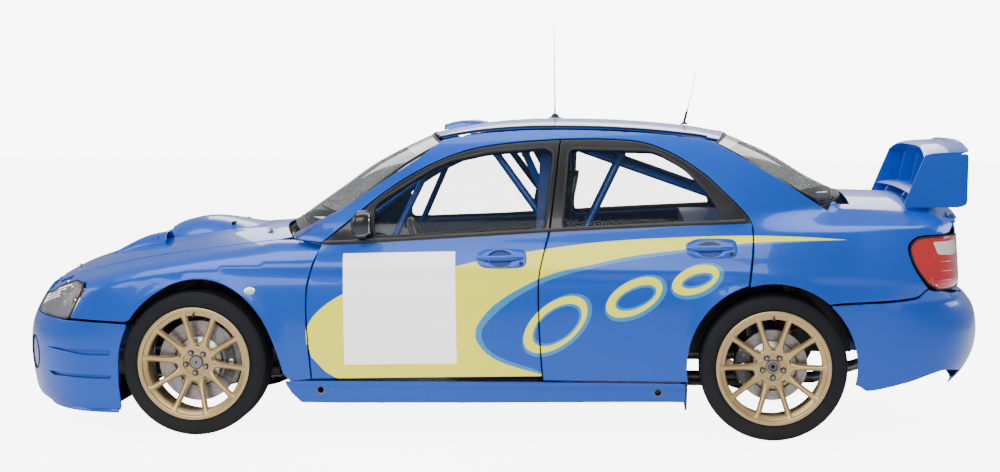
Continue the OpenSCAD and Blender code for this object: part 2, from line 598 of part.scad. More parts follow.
module antennas() color(black) {
  translate([-262, 0, 1390 + seat]) cylinder(r1 = 34, r2 = 14, h = 18);
  translate([-262, 0, 1400]) cylinder(r = 3, h = antenna_tip - 1400);
  translate([-872, 0, 1361]) cylinder(r1 = 20, r2 = 8, h = 16);
  tube([-872, 0, 1368], [-932, 0, 1618], 3);
}
cage_y = 456;
cage_low_y = 640;
hoop_x = -306;
module roll_cage() color("#20409a") {
  top = 1296;
  stay_y = cage_y - 60;
  leg_y = cage_low_y - 15;
  both_sides() {
    tube([hoop_x, cage_low_y, sill_lid + seat], [hoop_x, cage_low_y, 905], cage_r);
    tube([hoop_x, cage_low_y, 890], [hoop_x, cage_y, top], cage_r - 2);
    tube([hoop_x - 2, cage_y + 1, top - 4], [180, cage_y - 20, top - 45], cage_r - 3);
    tube([178, cage_y - 18, top - 46], [800, leg_y, 810], cage_r - 2);
    tube([800, leg_y + 1, 822], [800, leg_y + 1, pan_z + pan_t + seat], cage_r);
    tube([hoop_x + 2, cage_y - 2, top - 8], [-1235, stay_y, 960], cage_r - 4);
    tube([-1235, stay_y - 1, 970], [-1235, stay_y - 1, beam_z + pan_t + seat], cage_r - 1);
    tube([hoop_x, cage_low_y - 2, 560], [800, leg_y, 320], cage_r - 5);
    tube([hoop_x, cage_low_y - 1, 300], [800, leg_y - 1, 560], cage_r - 6);
  }
  tube([hoop_x + 1, -cage_y, top - 2], [hoop_x + 1, cage_y, top - 2], cage_r - 3);
  tube([181, 20 - cage_y, top - 44], [181, cage_y - 20, top - 44], cage_r - 5);
  tube([hoop_x - 14, -cage_y, top - 6], [-1234, stay_y - 3, 962], cage_r - 6);
  tube([-1236, -stay_y, 958], [-1236, stay_y, 958], cage_r - 5);
}
seat_y = 340;
seat_x = -30;
module seat() {
  difference() {
    union() {
      slab([seat_x - 250, -220, 260], [seat_x + 250, 220, 420]);
      translate([seat_x - 250, 220, 330]) rotate([90, 0, 0]) linear_extrude(440)
        polygon([[0, 0], [60, 60], [-70, 800], [-160, 790], [-90, 0]]);
    }
    slab([seat_x - 170, -165, 330], [seat_x + 260, 165, 430]);
    translate([seat_x - 150, 165, 330]) rotate([90, 0, 0]) linear_extrude(330) polygon([[-20, 0], [80, 0], [-60, 820], [-140, 790]]);
  }
  slab([seat_x - 200, -170, 180], [seat_x + 180, -130, 262]);
  slab([seat_x - 200, 130, 180], [seat_x + 180, 170, 262]);
}
module seats() color("#24262a") both_sides() translate([0, seat_y, 0]) seat();
column_angle = 22;
wheel_hub = [330, seat_y, 770];
module dashboard() color(black) {
  translate([0, 600, 0]) rotate([90, 0, 0]) linear_extrude(1200)
    polygon([[470, 700], [470, 820], [560, 850], [760, 850], [800, 800], [862 - seat, 800], [862 - seat, 640], [560, 640]]);
  translate(wheel_hub) rotate([0, 90 + column_angle, 0]) translate([0, 0, 12 + seat]) cylinder(r = 22, h = 190);
}
rim_tube = 14;
module steering_wheel() color("#1b1b1d") translate(wheel_hub) rotate([0, 90 + column_angle, 0]) {
  rotate_extrude() translate([steering_wheel_r, 0]) circle(r = rim_tube, $fn = 24);
  translate([0, 0, -12]) cylinder(r = 34, h = 24);
  for (a = [0, 120, 240]) rotate([0, 0, a + 60]) translate([20, -12, -4]) cube([steering_wheel_r - 20 - 4, 24, 8]);
}
module engine() color(grey) slab([1240, -370, 318 + seat], [1700, 370, 690]);
module transmission() color(grey) {
  slab([790, -95, 245 + seat], [1240 - seat, 95, 318]);
  slab([1240 - 100, -90, 230], [1240 - seat, 90, 420]);
  tube([790, 0, 255], [-1130, 0, 280], 32);
  slab([-1360, -150, 230], [-1130, 150, 380]);
  both_sides() {
    tube([rear_x, 149, axle_z], [rear_x, wheel_y - 151, axle_z], 18);
    tube([front_x, 94, 268], [front_x, 560, axle_z], 18);
  }
  slab([front_x - 112, -95, 228 + seat], [front_x + 48, 95, 318]);
}
pipe_r = 28;
pipe_z = pan_z - pipe_r - seat;
module exhaust() color("#8b8885") {
  tube([960, -160, pipe_z], [-1500, -160, pipe_z], pipe_r);
  translate([960, -160, pipe_z]) sphere(r = pipe_r);
  tube([960, -160, pipe_z], [960, -160, 260], pipe_r - 1);
  translate([-1500, -160, pipe_z]) sphere(r = pipe_r);
  tube([-1500, -160, pipe_z], [-1900, tail_pipe_y, tail_pipe_z], pipe_r - 1);
  translate([-2160, tail_pipe_y, tail_pipe_z]) rotate([0, 90, 0]) cylinder(r = tail_pipe_r, h = 280);
}
module sump_guard() color("#9a9a98") {
  translate([0, 330, 0]) rotate([90, 0, 0]) linear_extrude(660)
    polygon([[1000, 190], [1700, 190], [2080, 250], [2080, 258], [1700, 198], [1000, 198]]);
}
// Steering axis: through the lower ball joint, leaning inwards
ball = [front_x, 672, 180];
strut_l = (tower_top - liner_t - seat - ball.z) / cos(kingpin) - 12 * tan(kingpin);
module along_kingpin() translate(ball) rotate([kingpin, 0, 0]) children();
collar_z0 = 215;
collar_z1 = 262;
module suspension_arms() color(steel) {
  both_sides() {
    along_kingpin() translate([0, 0, -10]) cylinder(r = 14, h = 62);
    tube([front_x, ball.y + 12, 175.5], [front_x + 20, 395, 225], 14.5);
    tube([front_x - 3, ball.y - 14, 180], [front_x - 270, 395, 226], 13);
    tube([rear_x, 620, 225], [rear_x + 25, 180, 245], 14);
    tube([rear_x - 60, 620, 225], [rear_x - 110, 180, 245], 14);
    tube([rear_x + 50, 620, 225], [-873, 510, 205], 14);
  }
  slab([front_x - 300, -420, 215], [front_x - 240, 420, 245]);
  slab([front_x - 10, -420, 198 + seat], [front_x + 50, 420, 228]);
}
module suspension_struts() color("#c2342c") both_sides() {
  along_kingpin() {
    translate([0, 0, collar_z0 - 12]) cylinder(r = strut_r, h = 330);
    translate([0, 0, collar_z1 + 60]) cylinder(r = strut_r + 9, h = 240);
    translate([0, 0, collar_z1 + 240]) cylinder(r = 12, h = strut_l - collar_z1 - 240);
  }
  tube([rear_x - 75, 597.6, 252], [rear_x - 75, 552, 600], strut_r);
  tube([rear_x - 75, 565, 500], [rear_x - 75, 540, 700], strut_r + 9);
  translate([rear_x - 75, 540, 690]) cylinder(r = 12, h = 774 - seat - 690);
}
// ---- wheels turn about Y; a local +Z points out of the car ----
module at_wheel(x, side) translate([x, side * wheel_y, axle_z]) rotate([-90 * side, 0, 0]) children();
barrel = tyre_w / 2 - 12;
pad_z = 40;
module tyre(x, side) color("#202124") at_wheel(x, side) rotate_extrude($fn = 96) polygon([
  [bead_r + seat, 12 - tyre_w / 2], [bead_r + 24, 2 - tyre_w / 2], [tyre_r - 35, -tyre_w / 2], [tyre_r - 14, 8 - tyre_w / 2],
  [tyre_r - 3, 22 - tyre_w / 2], [tyre_r, 40 - tyre_w / 2], [tyre_r, tyre_w / 2 - 40], [tyre_r - 3, tyre_w / 2 - 22],
  [tyre_r - 14, tyre_w / 2 - 8], [tyre_r - 35, tyre_w / 2], [bead_r + 24, tyre_w / 2 - 2], [bead_r + seat, tyre_w / 2 - 12]]);
module rim(x, side) color("#c9ad6a") at_wheel(x, side) difference() {
  union() {
    rotate_extrude($fn = 96) polygon([[bead_r - 7, -barrel], [bead_r, -barrel], [bead_r, barrel], [bead_r - 7, barrel]]);
    for (m = [0, 1]) mirror([0, 0, m]) rotate_extrude($fn = 96) polygon([[bead_r - 7, barrel - 6],
      [bead_r - 0.5, barrel - 6], [bead_r - 0.5, barrel + 12.5], [lip_r, barrel + 12.5], [lip_r, barrel + 18],
      [bead_r - 7, barrel + 18]]);
    translate([0, 0, pad_z]) cylinder(r = 82, h = 24);
    for (k = [0 : spokes - 1]) rotate([0, 0, 360 / spokes * (k + 0.5)]) translate([0, 9, 0]) rotate([90, 0, 0])
      linear_extrude(18) polygon([[60, pad_z], [60, pad_z + 24], [bead_r - 4, barrel + 2], [bead_r - 4, barrel - 26]]);
  }
  translate([0, 0, pad_z - 1]) cylinder(r = hub_r + 2, h = 60);
}
bell_r = 100;
module brake(x, side, r) color("#8d8a88") at_wheel(x, side) rotate_extrude($fn = 72) polygon([
  [0, -150], [hub_r, -150], [hub_r, -12], [bell_r, -12], [bell_r, -30], [r, -30], [r, disc_w - 30], [bell_r + 12, disc_w - 30],
  [bell_r + 12, disc_w - 26], [74, 4], [74, pad_z - seat], [hub_r, pad_z - seat], [hub_r, pad_z + 12], [0, pad_z + 12]]);
// Caliper round the disc's edge, centred at an angle
module caliper(r, a) rotate([0, 0, a - 30]) difference() {
  rotate_extrude(angle = 60) translate([r - 62, -66]) square([78, disc_w + 66 - 4]);
  translate([0, 0, -36]) cylinder(r = r + 6, h = disc_w + 12);
}
module upright_core() difference() {
  translate([0, 0, -148]) cylinder(r = 54, h = 76);
  translate([0, 0, -160]) cylinder(r = hub_r + fit, h = 170);
}
front_caliper_angle = 180;
rear_caliper_angle = 0;
module caliper_arm(r) translate([42, -34, -92]) cube([r - 20 - 42, 68, 26]);
module front_upright(side) color(steel) {
  on_side(side) difference() {
    union() {
      at_wheel(front_x, 1) {
        difference() {
          translate([0, 0, -148]) cylinder(r = 54, h = 76);
          translate([0, 0, -160]) cylinder(r = hub_r + fit, h = 170);
        }
        rotate([0, 0, front_caliper_angle]) caliper_arm(front_disc_r);
        caliper(front_disc_r, front_caliper_angle);
      }
      along_kingpin() {
        translate([0, 0, 24]) cylinder(r = 27, h = 34);
        translate([0, 0, collar_z0]) cylinder(r = strut_r + 14, h = collar_z1 - collar_z0);
      }
      slab([front_x - 22, 625, 205], [front_x + 22, 690, 275]);
      slab([front_x - 22, 622, 365], [front_x + 22, 655, 440]);
    }
    along_kingpin() cylinder(r = 14 + fit, h = 60);
    along_kingpin() translate([0, 0, collar_z0 - 30]) cylinder(r = strut_r + fit, h = 200);
    at_wheel(front_x, 1) translate([0, 0, -160]) cylinder(r = hub_r + fit, h = 170);
  }
}
module rear_uprights() color(steel) both_sides() {
  at_wheel(rear_x, 1) {
    upright_core();
    caliper_arm(rear_disc_r);
  }
  difference() {
    slab([rear_x - 80, 622, 205], [rear_x + 70, 660, 290]);
    at_wheel(rear_x, 1) translate([0, 0, -160]) cylinder(r = 50, h = 170);
  }
}
module rear_calipers() color(black) both_sides() at_wheel(rear_x, 1) difference() {
  caliper(rear_disc_r, rear_caliper_angle);
  caliper_arm(rear_disc_r);
}
// ---- lids ----
nose_gap = shut_gap + 5;
bonnet_outline = concat([for (y = steps(-640, 640, 8)) [cowl_front(y), y]],
  [for (x = steps(940, 1990, 7)) [x, bonnet_edge(x) - shut_gap / 2]],
  [for (y = steps(430, -430, 6)) [2062 - nose_gap - 0.00028 * y * y, y]],
  [for (x = steps(1990, 940, 7)) [x, shut_gap / 2 - bonnet_edge(x)]]);
scoop = [[1566, 866], [1502, 900], [1407, 922], [1312, 922], [1206, 905], [1120, 880], [1120, 860], [1566, 830]];
module bonnet() color(blue) pressed() {
  xs = steps(860, 2080, 13);
  ys = steps(660, -660, 12);
  intersection() {
    shell([for (x = xs) [for (y = ys) [x, y, bonnet_z(x, y)]]], [for (x = xs) [for (y = ys) [x, y, bonnet_z(x, y) - bonnet_t]]]);
    plan_prism(bonnet_outline);
  }
  difference() {
    translate([0, 262, 0]) rotate([90, 0, 0]) linear_extrude(524) polygon(scoop);
    slab([1250, -240, 860], [1600, 240, 900]);
  }
}
lid_bottom = 650;
module lid_top_shell(top, bottom) {
  xs = steps(lid_front, -2090, 6);
  ys = steps(-deck_edge + shut_gap / 2, deck_edge - shut_gap / 2, 8);
  shell([for (x = xs) [for (y = ys) [x, y, boot_z(x, y) + top]]], [for (x = xs) [for (y = ys) [x, y, boot_z(x, y) + bottom]]]);
}
module boot_lid() color(blue) pressed() {
  intersection() {
    lid_top_shell(0, -30);
    plan_prism([[lid_front, -640], [lid_front, 640], [-2055, 640], [-2068, 300], [-2070, 0], [-2068, -300], [-2055, -640]]);
  }
  intersection() {
    tail_shell(lid_bottom, 1000, 0, 30, 60);
    rotate([90, 0, 90]) translate([0, 0, -2300]) linear_extrude(500)
      polygon([[-508, 600], [508, 600], [508, 896], [594, 900], [594, 985], [-594, 985], [-594, 900], [-508, 896]]);
  }
}
wing_half = 640;
endplate_t = 12;
endplate = [[-1815, 1005], [-1911, 1236], [-2100, 1243], [-2096, 1018]];
function plane_section(x0, x1, z0, rise, t) = concat(
  [for (s = steps(0, 1, 6)) [x0 + (x1 - x0) * s, z0 + rise * s * s + t * sqrt(s) * (1 - s) * 2]],
  [for (s = steps(1, 0.15, 5)) [x0 + (x1 - x0) * s, z0 + rise * s * s - t * sqrt(s) * (1 - s) * 1.2 - 3 * s]]);
module rear_wing() color(blue) pressed() {
  both_sides() translate([0, wing_half, 0]) rotate([90, 0, 0]) linear_extrude(endplate_t) polygon(endplate);
  loft([for (y = steps(wing_half - 2, 2 - wing_half, 8)) [for (p = plane_section(-1925, -2095, 1228, 22, 16))
    [p.x, y, p.y + 45 * (1 - pow(y / wing_half, 4))]]]);
  loft([for (y = steps(wing_half - 2, 2 - wing_half, 6)) [for (p = plane_section(-1850, -2050, 1062, 20, 18))
    [p.x, y, p.y + 14 * (1 - pow(y / wing_half, 2))]]]);
  both_sides() difference() {
    translate([0, 330, 0]) rotate([90, 0, 0]) linear_extrude(40)
      polygon([[-1862, 1020], [-1880, 1075], [-2000, 1075], [-2010, 1000]]);
    lid_top_shell(seat, -60);
  }
}

floor_pan();
bulkheads();
sills();
jack_tubes();
side_skirts();
pillars();
roof_panel();
roof_vent();
quarter_panels();
front_wings();
front_bumper();
front_grille();
rear_bumper();
wheel_housings();
cowl_panel();
windscreen();
rear_window();
headlights();
tail_lights();
antennas();
roll_cage();
seats();
dashboard();
engine();
transmission();
exhaust();
sump_guard();
suspension_arms();
suspension_struts();
rear_uprights();
rear_calipers();
front_door(1);  // front_door_left
front_door(-1);  // front_door_right
rear_door(1);  // rear_door_left
rear_door(-1);  // rear_door_right
front_door_glass(1);  // front_door_glass_left
front_door_glass(-1);  // front_door_glass_right
rear_door_glass(1);  // rear_door_glass_left
rear_door_glass(-1);  // rear_door_glass_right
door_mirror(1);  // door_mirror_left
door_mirror(-1);  // door_mirror_right
bonnet();
boot_lid();
rear_wing();
steering_wheel();
front_upright(1);  // front_upright_left
front_upright(-1);  // front_upright_right
tyre(front_x, 1);  // tyre_front_left
tyre(front_x, -1);  // tyre_front_right
tyre(rear_x, 1);  // tyre_rear_left
tyre(rear_x, -1);  // tyre_rear_right
rim(front_x, 1);  // rim_front_left
rim(front_x, -1);  // rim_front_right
rim(rear_x, 1);  // rim_rear_left
rim(rear_x, -1);  // rim_rear_right
brake(front_x, 1, front_disc_r);  // brake_front_left
brake(front_x, -1, front_disc_r);  // brake_front_right
brake(rear_x, 1, rear_disc_r);  // brake_rear_left
brake(rear_x, -1, rear_disc_r);  // brake_rear_right
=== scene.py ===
"""Rally car: detailed panels, glass, wheels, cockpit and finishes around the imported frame."""

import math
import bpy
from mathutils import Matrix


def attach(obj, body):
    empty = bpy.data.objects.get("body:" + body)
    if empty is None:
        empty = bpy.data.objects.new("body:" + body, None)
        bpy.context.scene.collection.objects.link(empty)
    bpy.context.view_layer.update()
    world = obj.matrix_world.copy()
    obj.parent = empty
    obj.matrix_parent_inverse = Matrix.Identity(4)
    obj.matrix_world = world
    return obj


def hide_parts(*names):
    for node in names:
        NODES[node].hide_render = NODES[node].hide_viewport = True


bl_info = {
    "name": "Rally car",
    "version": (1, 0, 0),
    "blender": (4, 5, 0),
    "location": "View3D > Sidebar > Rally car",
    "description": "Builds the rally car's panels, wheels, cockpit and finishes around its frame",
    "category": "Add Mesh",
}

import bmesh
import bpy
import numpy as np
from mathutils import Matrix, Vector
from mathutils.geometry import delaunay_2d_cdt

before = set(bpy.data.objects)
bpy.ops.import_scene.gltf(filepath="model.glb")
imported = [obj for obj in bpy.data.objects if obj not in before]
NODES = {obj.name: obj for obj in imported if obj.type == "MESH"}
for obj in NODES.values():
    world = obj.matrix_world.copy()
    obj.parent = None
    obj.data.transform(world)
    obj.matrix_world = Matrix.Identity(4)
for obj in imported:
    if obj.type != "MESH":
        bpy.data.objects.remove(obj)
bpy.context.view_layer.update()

# ---- the car's own measures, in millimetres ----
FRONT_X = 1292.0
REAR_X = -1243.0
AXLE_Z = 320.0
WHEEL_Y = 770.0
GAP = 6.0
NOSE_START = FRONT_X + 328
TAIL_START = REAR_X - 377
NOSE_W = 872.0
TAIL_W = 862.0
WAIST = 870.0
NOSE_POWER = 2.3
DECK_EDGE = 598.0
LID_FRONT = -1592.0
HEADLIGHT_INNER = 470.0
HALF_LENGTH = 2200.0
WIDTH_LINE = [(TAIL_START, TAIL_W), (REAR_X, 885), (REAR_X + 393, 862), (-500, 850), (0, 848), (500, 850),
              (FRONT_X - 492, 858), (FRONT_X, 885), (NOSE_START, NOSE_W)]
NOSE_SETBACK = [(90, 115), (135, 40), (196, 16), (298, 2), (400, 0), (461, 10), (510, 30), (560, 58), (600, 85),
                (640, 120), (670, 165), (700, 225)]
TAIL_SETBACK = [(215, 120), (272, 60), (344, 18), (415, 0), (495, 2), (566, 22), (619, 68), (640, 105), (700, 112),
                (850, 122), (950, 130), (1000, 145)]
SIDE_LEAN = [(-790, 34), (-640, 12), (-480, 2), (-320, 0), (-190, 7), (-90, 24), (0, 55), (100, 90), (200, 132),
             (300, 182), (400, 242), (480, 300)]
BONNET_LINE = [(1000, 905), (1300, 868), (1500, 836), (1700, 795), (1907, 732), (2040, 668), (2085, 636), (2130, 590)]
BOOT_LINE = [(-2060, 1000), (-2000, 1028), (-1900, 1043), (-1750, 1050), (-1500, 1056)]
ROOF_LINE = [(-1035, 1330), (-900, 1355), (-600, 1382), (-250, 1390), (0, 1378), (193, 1350), (291, 1325)]
SCREEN_LINE = [(866, 1010), (960, 896), (1069, 743), (1183, 581), (1259, 438), (1325, 291), (1345, 240)]
BACK_LINE = [(1040, -1605), (1056, -1578), (1123, -1444), (1238, -1251), (1330, -1035), (1345, -990)]
SCREEN_EDGE = [(866, 820), (999, 632), (1124, 452), (1212, 324), (1283, 222)]
BACK_EDGE = [(988, -1515), (1037, -1412), (1109, -1297), (1217, -1118), (1303, -958)]
BONNET_EDGE = [(850, 650), (1300, 646), (1700, 612), (1900, 560), (2060, 470)]
FRONT_ARCH = [(-25, 367), (-6, 342), (32, 342), (62, 350), (76, 361), (92, 370), (106, 372), (123, 365), (138, 358),
              (156, 355), (172, 365), (187, 394), (196, 442)]
REAR_ARCH_R = 363.0


def curve(table, s):
    """Smooth curve through the table's points, level beyond its ends."""
    t = np.array(table, float)
    x, y = t[:, 0], t[:, 1]
    s = np.asarray(s, float)
    i = np.clip(np.searchsorted(x, s, side="right") - 1, 0, len(x) - 2)
    lo = np.maximum(np.arange(len(x)) - 1, 0)
    hi = np.minimum(np.arange(len(x)) + 1, len(x) - 1)
    m = (y[hi] - y[lo]) / (x[hi] - x[lo])
    h = x[i + 1] - x[i]
    q = np.clip((s - x[i]) / h, 0, 1)
    return (y[i] * (1 + 2 * q) * (1 - q) ** 2 + m[i] * h * q * (1 - q) ** 2
            + y[i + 1] * q * q * (3 - 2 * q) + m[i + 1] * h * q * q * (q - 1))


def ease(t):
    t = np.clip(t, 0, 1)
    return t * t * (3 - 2 * t)


def nose_reach(z):
    return HALF_LENGTH - curve(NOSE_SETBACK, z) - NOSE_START


def tail_reach(z):
    return HALF_LENGTH - curve(TAIL_SETBACK, z) + TAIL_START


def tail_power(z):
    return np.clip(3 + (np.asarray(z, float) - 600) * 0.02, 3, 4.6)


def belt_z(x):
    return 878 - 0.054 * x


def lean(x, z):
    """How far the side leans in, as a share of its half width."""
    h = z - belt_z(x)
    taper = ease((h + 60) / 120) * np.where(x > 400, 0.00035 * (np.minimum(x, 900) - 400) ** 2,
                                            np.where(x < -900, 0.00038 * (np.maximum(x, -1500) + 900) ** 2, 0))
    return (curve(SIDE_LEAN, h) + taper) / WAIST


def plan_y(x, z):
    nose = NOSE_W * np.maximum(0, 1 - np.clip((x - NOSE_START) / nose_reach(z), 0, 1) ** NOSE_POWER) ** (1 / NOSE_POWER)
    p = tail_power(z)
    tail = TAIL_W * np.maximum(0, 1 - np.clip((TAIL_START - x) / tail_reach(z), 0, 1) ** p) ** (1 / p)
    return np.where(x > NOSE_START, nose, np.where(x < TAIL_START, tail, curve(WIDTH_LINE, x)))


def side_y(x, z):
    """Half width of the side, from the sill to the roof."""
    return plan_y(x, z) * (1 - lean(x, z))


def bonnet_z(x, y):
    return curve(BONNET_LINE, x + 0.00012 * y * y) - 62 * (np.abs(y) / 700) ** 2.6


def boot_z(x, y):
    return curve(BOOT_LINE, x - 0.0001 * y * y) - 62 * (np.abs(y) / 700) ** 2.4


def roof_z(x, y):
    return curve(ROOF_LINE, x) - 34 * (np.abs(y) / 580) ** 2.2


def screen_x(y, z):
    return curve(SCREEN_LINE, z) - (0.00039 + 0.00000022 * (z - 866)) * y * y


def back_x(y, z):
    return curve(BACK_LINE, z) + 0.00037 * y * y


def screen_half(z):
    return side_y(curve(SCREEN_EDGE, z), z) - 16


def back_half(z):
    return side_y(curve(BACK_EDGE, z), z) - 16


def rail_top(x):
    return curve(ROOF_LINE, x) - 41.9


def cowl_front(y):
    return 985 - 0.00025 * y * y


def bonnet_edge(x):
    return curve(BONNET_EDGE, x)


# ---- surfaces: two flat coordinates in, points in the car's frame out ----
def side_detail(x, z):
    """Flared arch lips and the soft crease along the flank, as extra width."""
    lip = 0
    for cx, r in ((FRONT_X, 358), (REAR_X, REAR_ARCH_R)):
        d = np.hypot(x - cx, z - AXLE_Z) - r
        lip = lip + 7 * np.exp(-(np.maximum(d, 0) / 34) ** 2) * ease((z - 180) / 160)
    crease_z = 742 + 0.012 * x
    crease = 5 * (np.exp(-((z - crease_z) / 26) ** 2) * 0.7 - 0.5 * np.exp(-((z - crease_z + 52) / 30) ** 2))
    return lip + crease * ease((z - 600) / 60) * ease((1900 - x) / 400) * ease((x + 1950) / 500)


def side_surface(u, v):
    y = side_y(u, v) + side_detail(u, v)
    return np.stack([u, y, v], -1)


SHOULDER = 55.0


def folded(u, v, top, strip_y, corner_z, corner_y):
    """Side that folds over a soft shoulder into a top strip. v goes on past corner_z as distance inwards."""
    z_top = corner_z - SHOULDER
    low = side_surface(u, np.minimum(v, z_top))
    a = side_surface(u, z_top)
    y_b = strip_y - SHOULDER * 0.4
    b = np.stack([u, y_b, top(u, y_b)], -1)
    c = np.stack([u, side_y(u, corner_z) - 2, top(u, corner_y)], -1)
    t = np.clip((v - z_top) / (2 * SHOULDER), 0, 1)[..., None]
    fold = (1 - t) ** 2 * a + 2 * t * (1 - t) * c + t * t * b
    y_in = y_b - np.maximum(v - z_top - 2 * SHOULDER, 0)
    strip = np.stack([u, y_in, top(u, y_in)], -1)
    v3 = v[..., None]
    z3 = np.asarray(z_top)[..., None]
    return np.where(v3 <= z3, low, np.where(v3 <= z3 + 2 * SHOULDER, fold, strip))


def wing_corner(u):
    return bonnet_z(u, 740 - np.maximum(0, u - 1500) * 0.12) - 12


def wing_surface(u, v):
    strip = 730 - np.maximum(0, u - 1500) * 0.12
    return folded(u, v, bonnet_z, strip, wing_corner(u), strip + 60)


def deck_corner(u):
    return boot_z(u, 690 + 0 * u) - 8


def quarter_surface(u, v):
    strip = 680 + 0 * u
    deck = folded(u, v, boot_z, strip, deck_corner(u), strip + 50)
    flank = side_surface(u, v)
    mix = (ease((-1484 - u) / 60) * ease((v - deck_corner(u) + SHOULDER) / 20))[..., None]
    low = (v < deck_corner(u) - SHOULDER)[..., None]
    return np.where(low, flank, flank * (1 - mix) + deck * mix)


def bonnet_surface(u, v):
    rib = 7 * np.exp(-((np.abs(v) - (330 - (u - 1000) * 0.12)) / 42) ** 2) * ease((u - 1000) / 200) * ease((2050 - u) / 300)
    return np.stack([u, v, bonnet_z(u, v) + rib - 0.6], -1)


def roof_surface(u, v):
    return np.stack([u, v, roof_z(u, v)], -1)


DEG = 11.0


def nose_surface(u, v):
    """u is 11 mm a degree round the nose, and plain distance back along the side past 90 degrees."""
    side = np.sign(u + 1e-9)
    a = np.abs(u)
    t = np.radians(np.minimum(a / DEG, 90))
    width = NOSE_W * (1 - lean(NOSE_START, v))
    x = NOSE_START + nose_reach(v) * np.cos(t).clip(0) ** (2 / NOSE_POWER)
    y = width * np.sin(t) ** (2 / NOSE_POWER)
    back = np.maximum(a - 90 * DEG, 0)
    xb = NOSE_START - back
    past = a > 90 * DEG
    x = np.where(past, xb, x)
    y = np.where(past, side_y(xb, v), y)
    return np.stack([x, y * side, v], -1)


def nose_u(x, z):
    """Unrolled place of a point seen from the side, at x and z."""
    q = np.clip((x - NOSE_START) / nose_reach(z), 0, 1) ** (NOSE_POWER / 2)
    return np.where(x < NOSE_START, 90 * DEG + NOSE_START - x, np.degrees(np.arccos(q)) * DEG)


def nose_u_front(y, z):
    """Unrolled place of a point seen from the front, at y and z."""
    q = np.clip(np.abs(y) / (NOSE_W * (1 - lean(NOSE_START, z))), 0, 1) ** (NOSE_POWER / 2)
    return np.sign(y) * np.degrees(np.arcsin(q)) * DEG


def tail_surface(u, v):
    side = np.sign(u + 1e-9)
    a = np.abs(u)
    t = np.radians(np.minimum(a / DEG, 90))
    p = tail_power(v)
    width = TAIL_W * (1 - lean(TAIL_START, v))
    x = TAIL_START - tail_reach(v) * np.cos(t).clip(0) ** (2 / p)
    y = width * np.sin(t) ** (2 / p)
    back = np.maximum(a - 90 * DEG, 0)
    xb = TAIL_START + back
    past = a > 90 * DEG
    x = np.where(past, xb, x)
    y = np.where(past, side_y(xb, v), y)
    return np.stack([x, y * side, v], -1)


def tail_u(x, z):
    p = tail_power(z)
    q = np.clip((TAIL_START - x) / tail_reach(z), 0, 1) ** (p / 2)
    return np.where(x > TAIL_START, 90 * DEG + x - TAIL_START, np.degrees(np.arccos(q)) * DEG)


def tail_u_rear(y, z):
    q = np.clip(np.abs(y) / (TAIL_W * (1 - lean(TAIL_START, z))), 0, 1) ** (tail_power(z) / 2)
    return np.sign(y) * np.degrees(np.arcsin(q)) * DEG


def glass_surface(line_x, foot, head, half):
    def surface(u, v):
        """u across from -1000 to 1000, v up from 0 to 1000."""
        t = u / 1000
        z = foot(t) + (head(t) - foot(t)) * v / 1000
        y = t * half(z)
        return np.stack([line_x(y, z), y, z], -1)
    return surface


screen_surface = glass_surface(screen_x, lambda t: 915 - 46 * t * t, lambda t: 1320 - 36 * t * t, screen_half)
back_surface = glass_surface(back_x, lambda t: 1052 - 56 * t * t, lambda t: 1320 - 34 * t * t, back_half)


# surfaces whose two directions cross into the body
INWARD = (side_surface, wing_surface, quarter_surface, tail_surface, back_surface)


# ---- flat outlines ----
def bend(points, step=18):
    """Points along a smooth line through the given ones."""
    p = np.array(points, float)
    if len(p) < 3:
        n = max(2, int(np.hypot(*(p[1] - p[0])) / step) + 1)
        return [tuple(p[0] + (p[1] - p[0]) * t) for t in np.linspace(0, 1, n)]
    d = np.concatenate([[0], np.cumsum(np.hypot(*np.diff(p, axis=0).T))])
    n = max(2, int(d[-1] / step) + 1)
    s = np.linspace(0, d[-1], n)
    return list(zip(curve(np.stack([d, p[:, 0]], -1), s), curve(np.stack([d, p[:, 1]], -1), s)))


def loop(points, step=18):
    """Smooth closed line through the points."""
    p = list(points)
    k = len(p)
    ext = np.array(p[-3:] + p + p[:4], float)
    d = np.concatenate([[0], np.cumsum(np.hypot(*np.diff(ext, axis=0).T))])
    s = np.linspace(d[3], d[3 + k], max(8, int((d[3 + k] - d[3]) / step)), endpoint=False)
    return list(zip(curve(np.stack([d, ext[:, 0]], -1), s), curve(np.stack([d, ext[:, 1]], -1), s)))


def rounded(points, r, step=6):
    """Polygon with its corners rounded."""
    p = [np.array(q, float) for q in points]
    out = []
    for i, b in enumerate(p):
        a, c = p[i - 1], p[(i + 1) % len(p)]
        da, dc = a - b, c - b
        k = min(r, 0.45 * np.hypot(*da), 0.45 * np.hypot(*dc))
        a2, c2 = b + da / np.hypot(*da) * k, b + dc / np.hypot(*dc) * k
        n = max(2, int(k * 1.6 / step))
        for t in np.linspace(0, 1, n + 1):
            out.append(tuple((1 - t) ** 2 * a2 + 2 * t * (1 - t) * b + t * t * c2))
    return out


def area(points):
    p = np.array(points, float)
    q = np.roll(p, -1, 0)
    return 0.5 * float(np.sum(p[:, 0] * q[:, 1] - q[:, 0] * p[:, 1]))


def grown(points, d):
    """Outline moved outwards by d."""
    p = np.array(points if area(points) > 0 else list(points)[::-1], float)
    keep = np.hypot(*(p - np.roll(p, 1, 0)).T) > 0.01
    p = p[keep]
    e = np.roll(p, -1, 0) - p
    e /= np.hypot(*e.T)[:, None] + 1e-12
    n = np.stack([e[:, 1], -e[:, 0]], -1)
    m = n + np.roll(n, 1, 0)
    m /= np.hypot(*m.T)[:, None] + 1e-9
    scale = 1 / np.clip(np.sum(m * n, -1), 0.55, 1)
    return [tuple(q) for q in p + m * (d * scale)[:, None]]


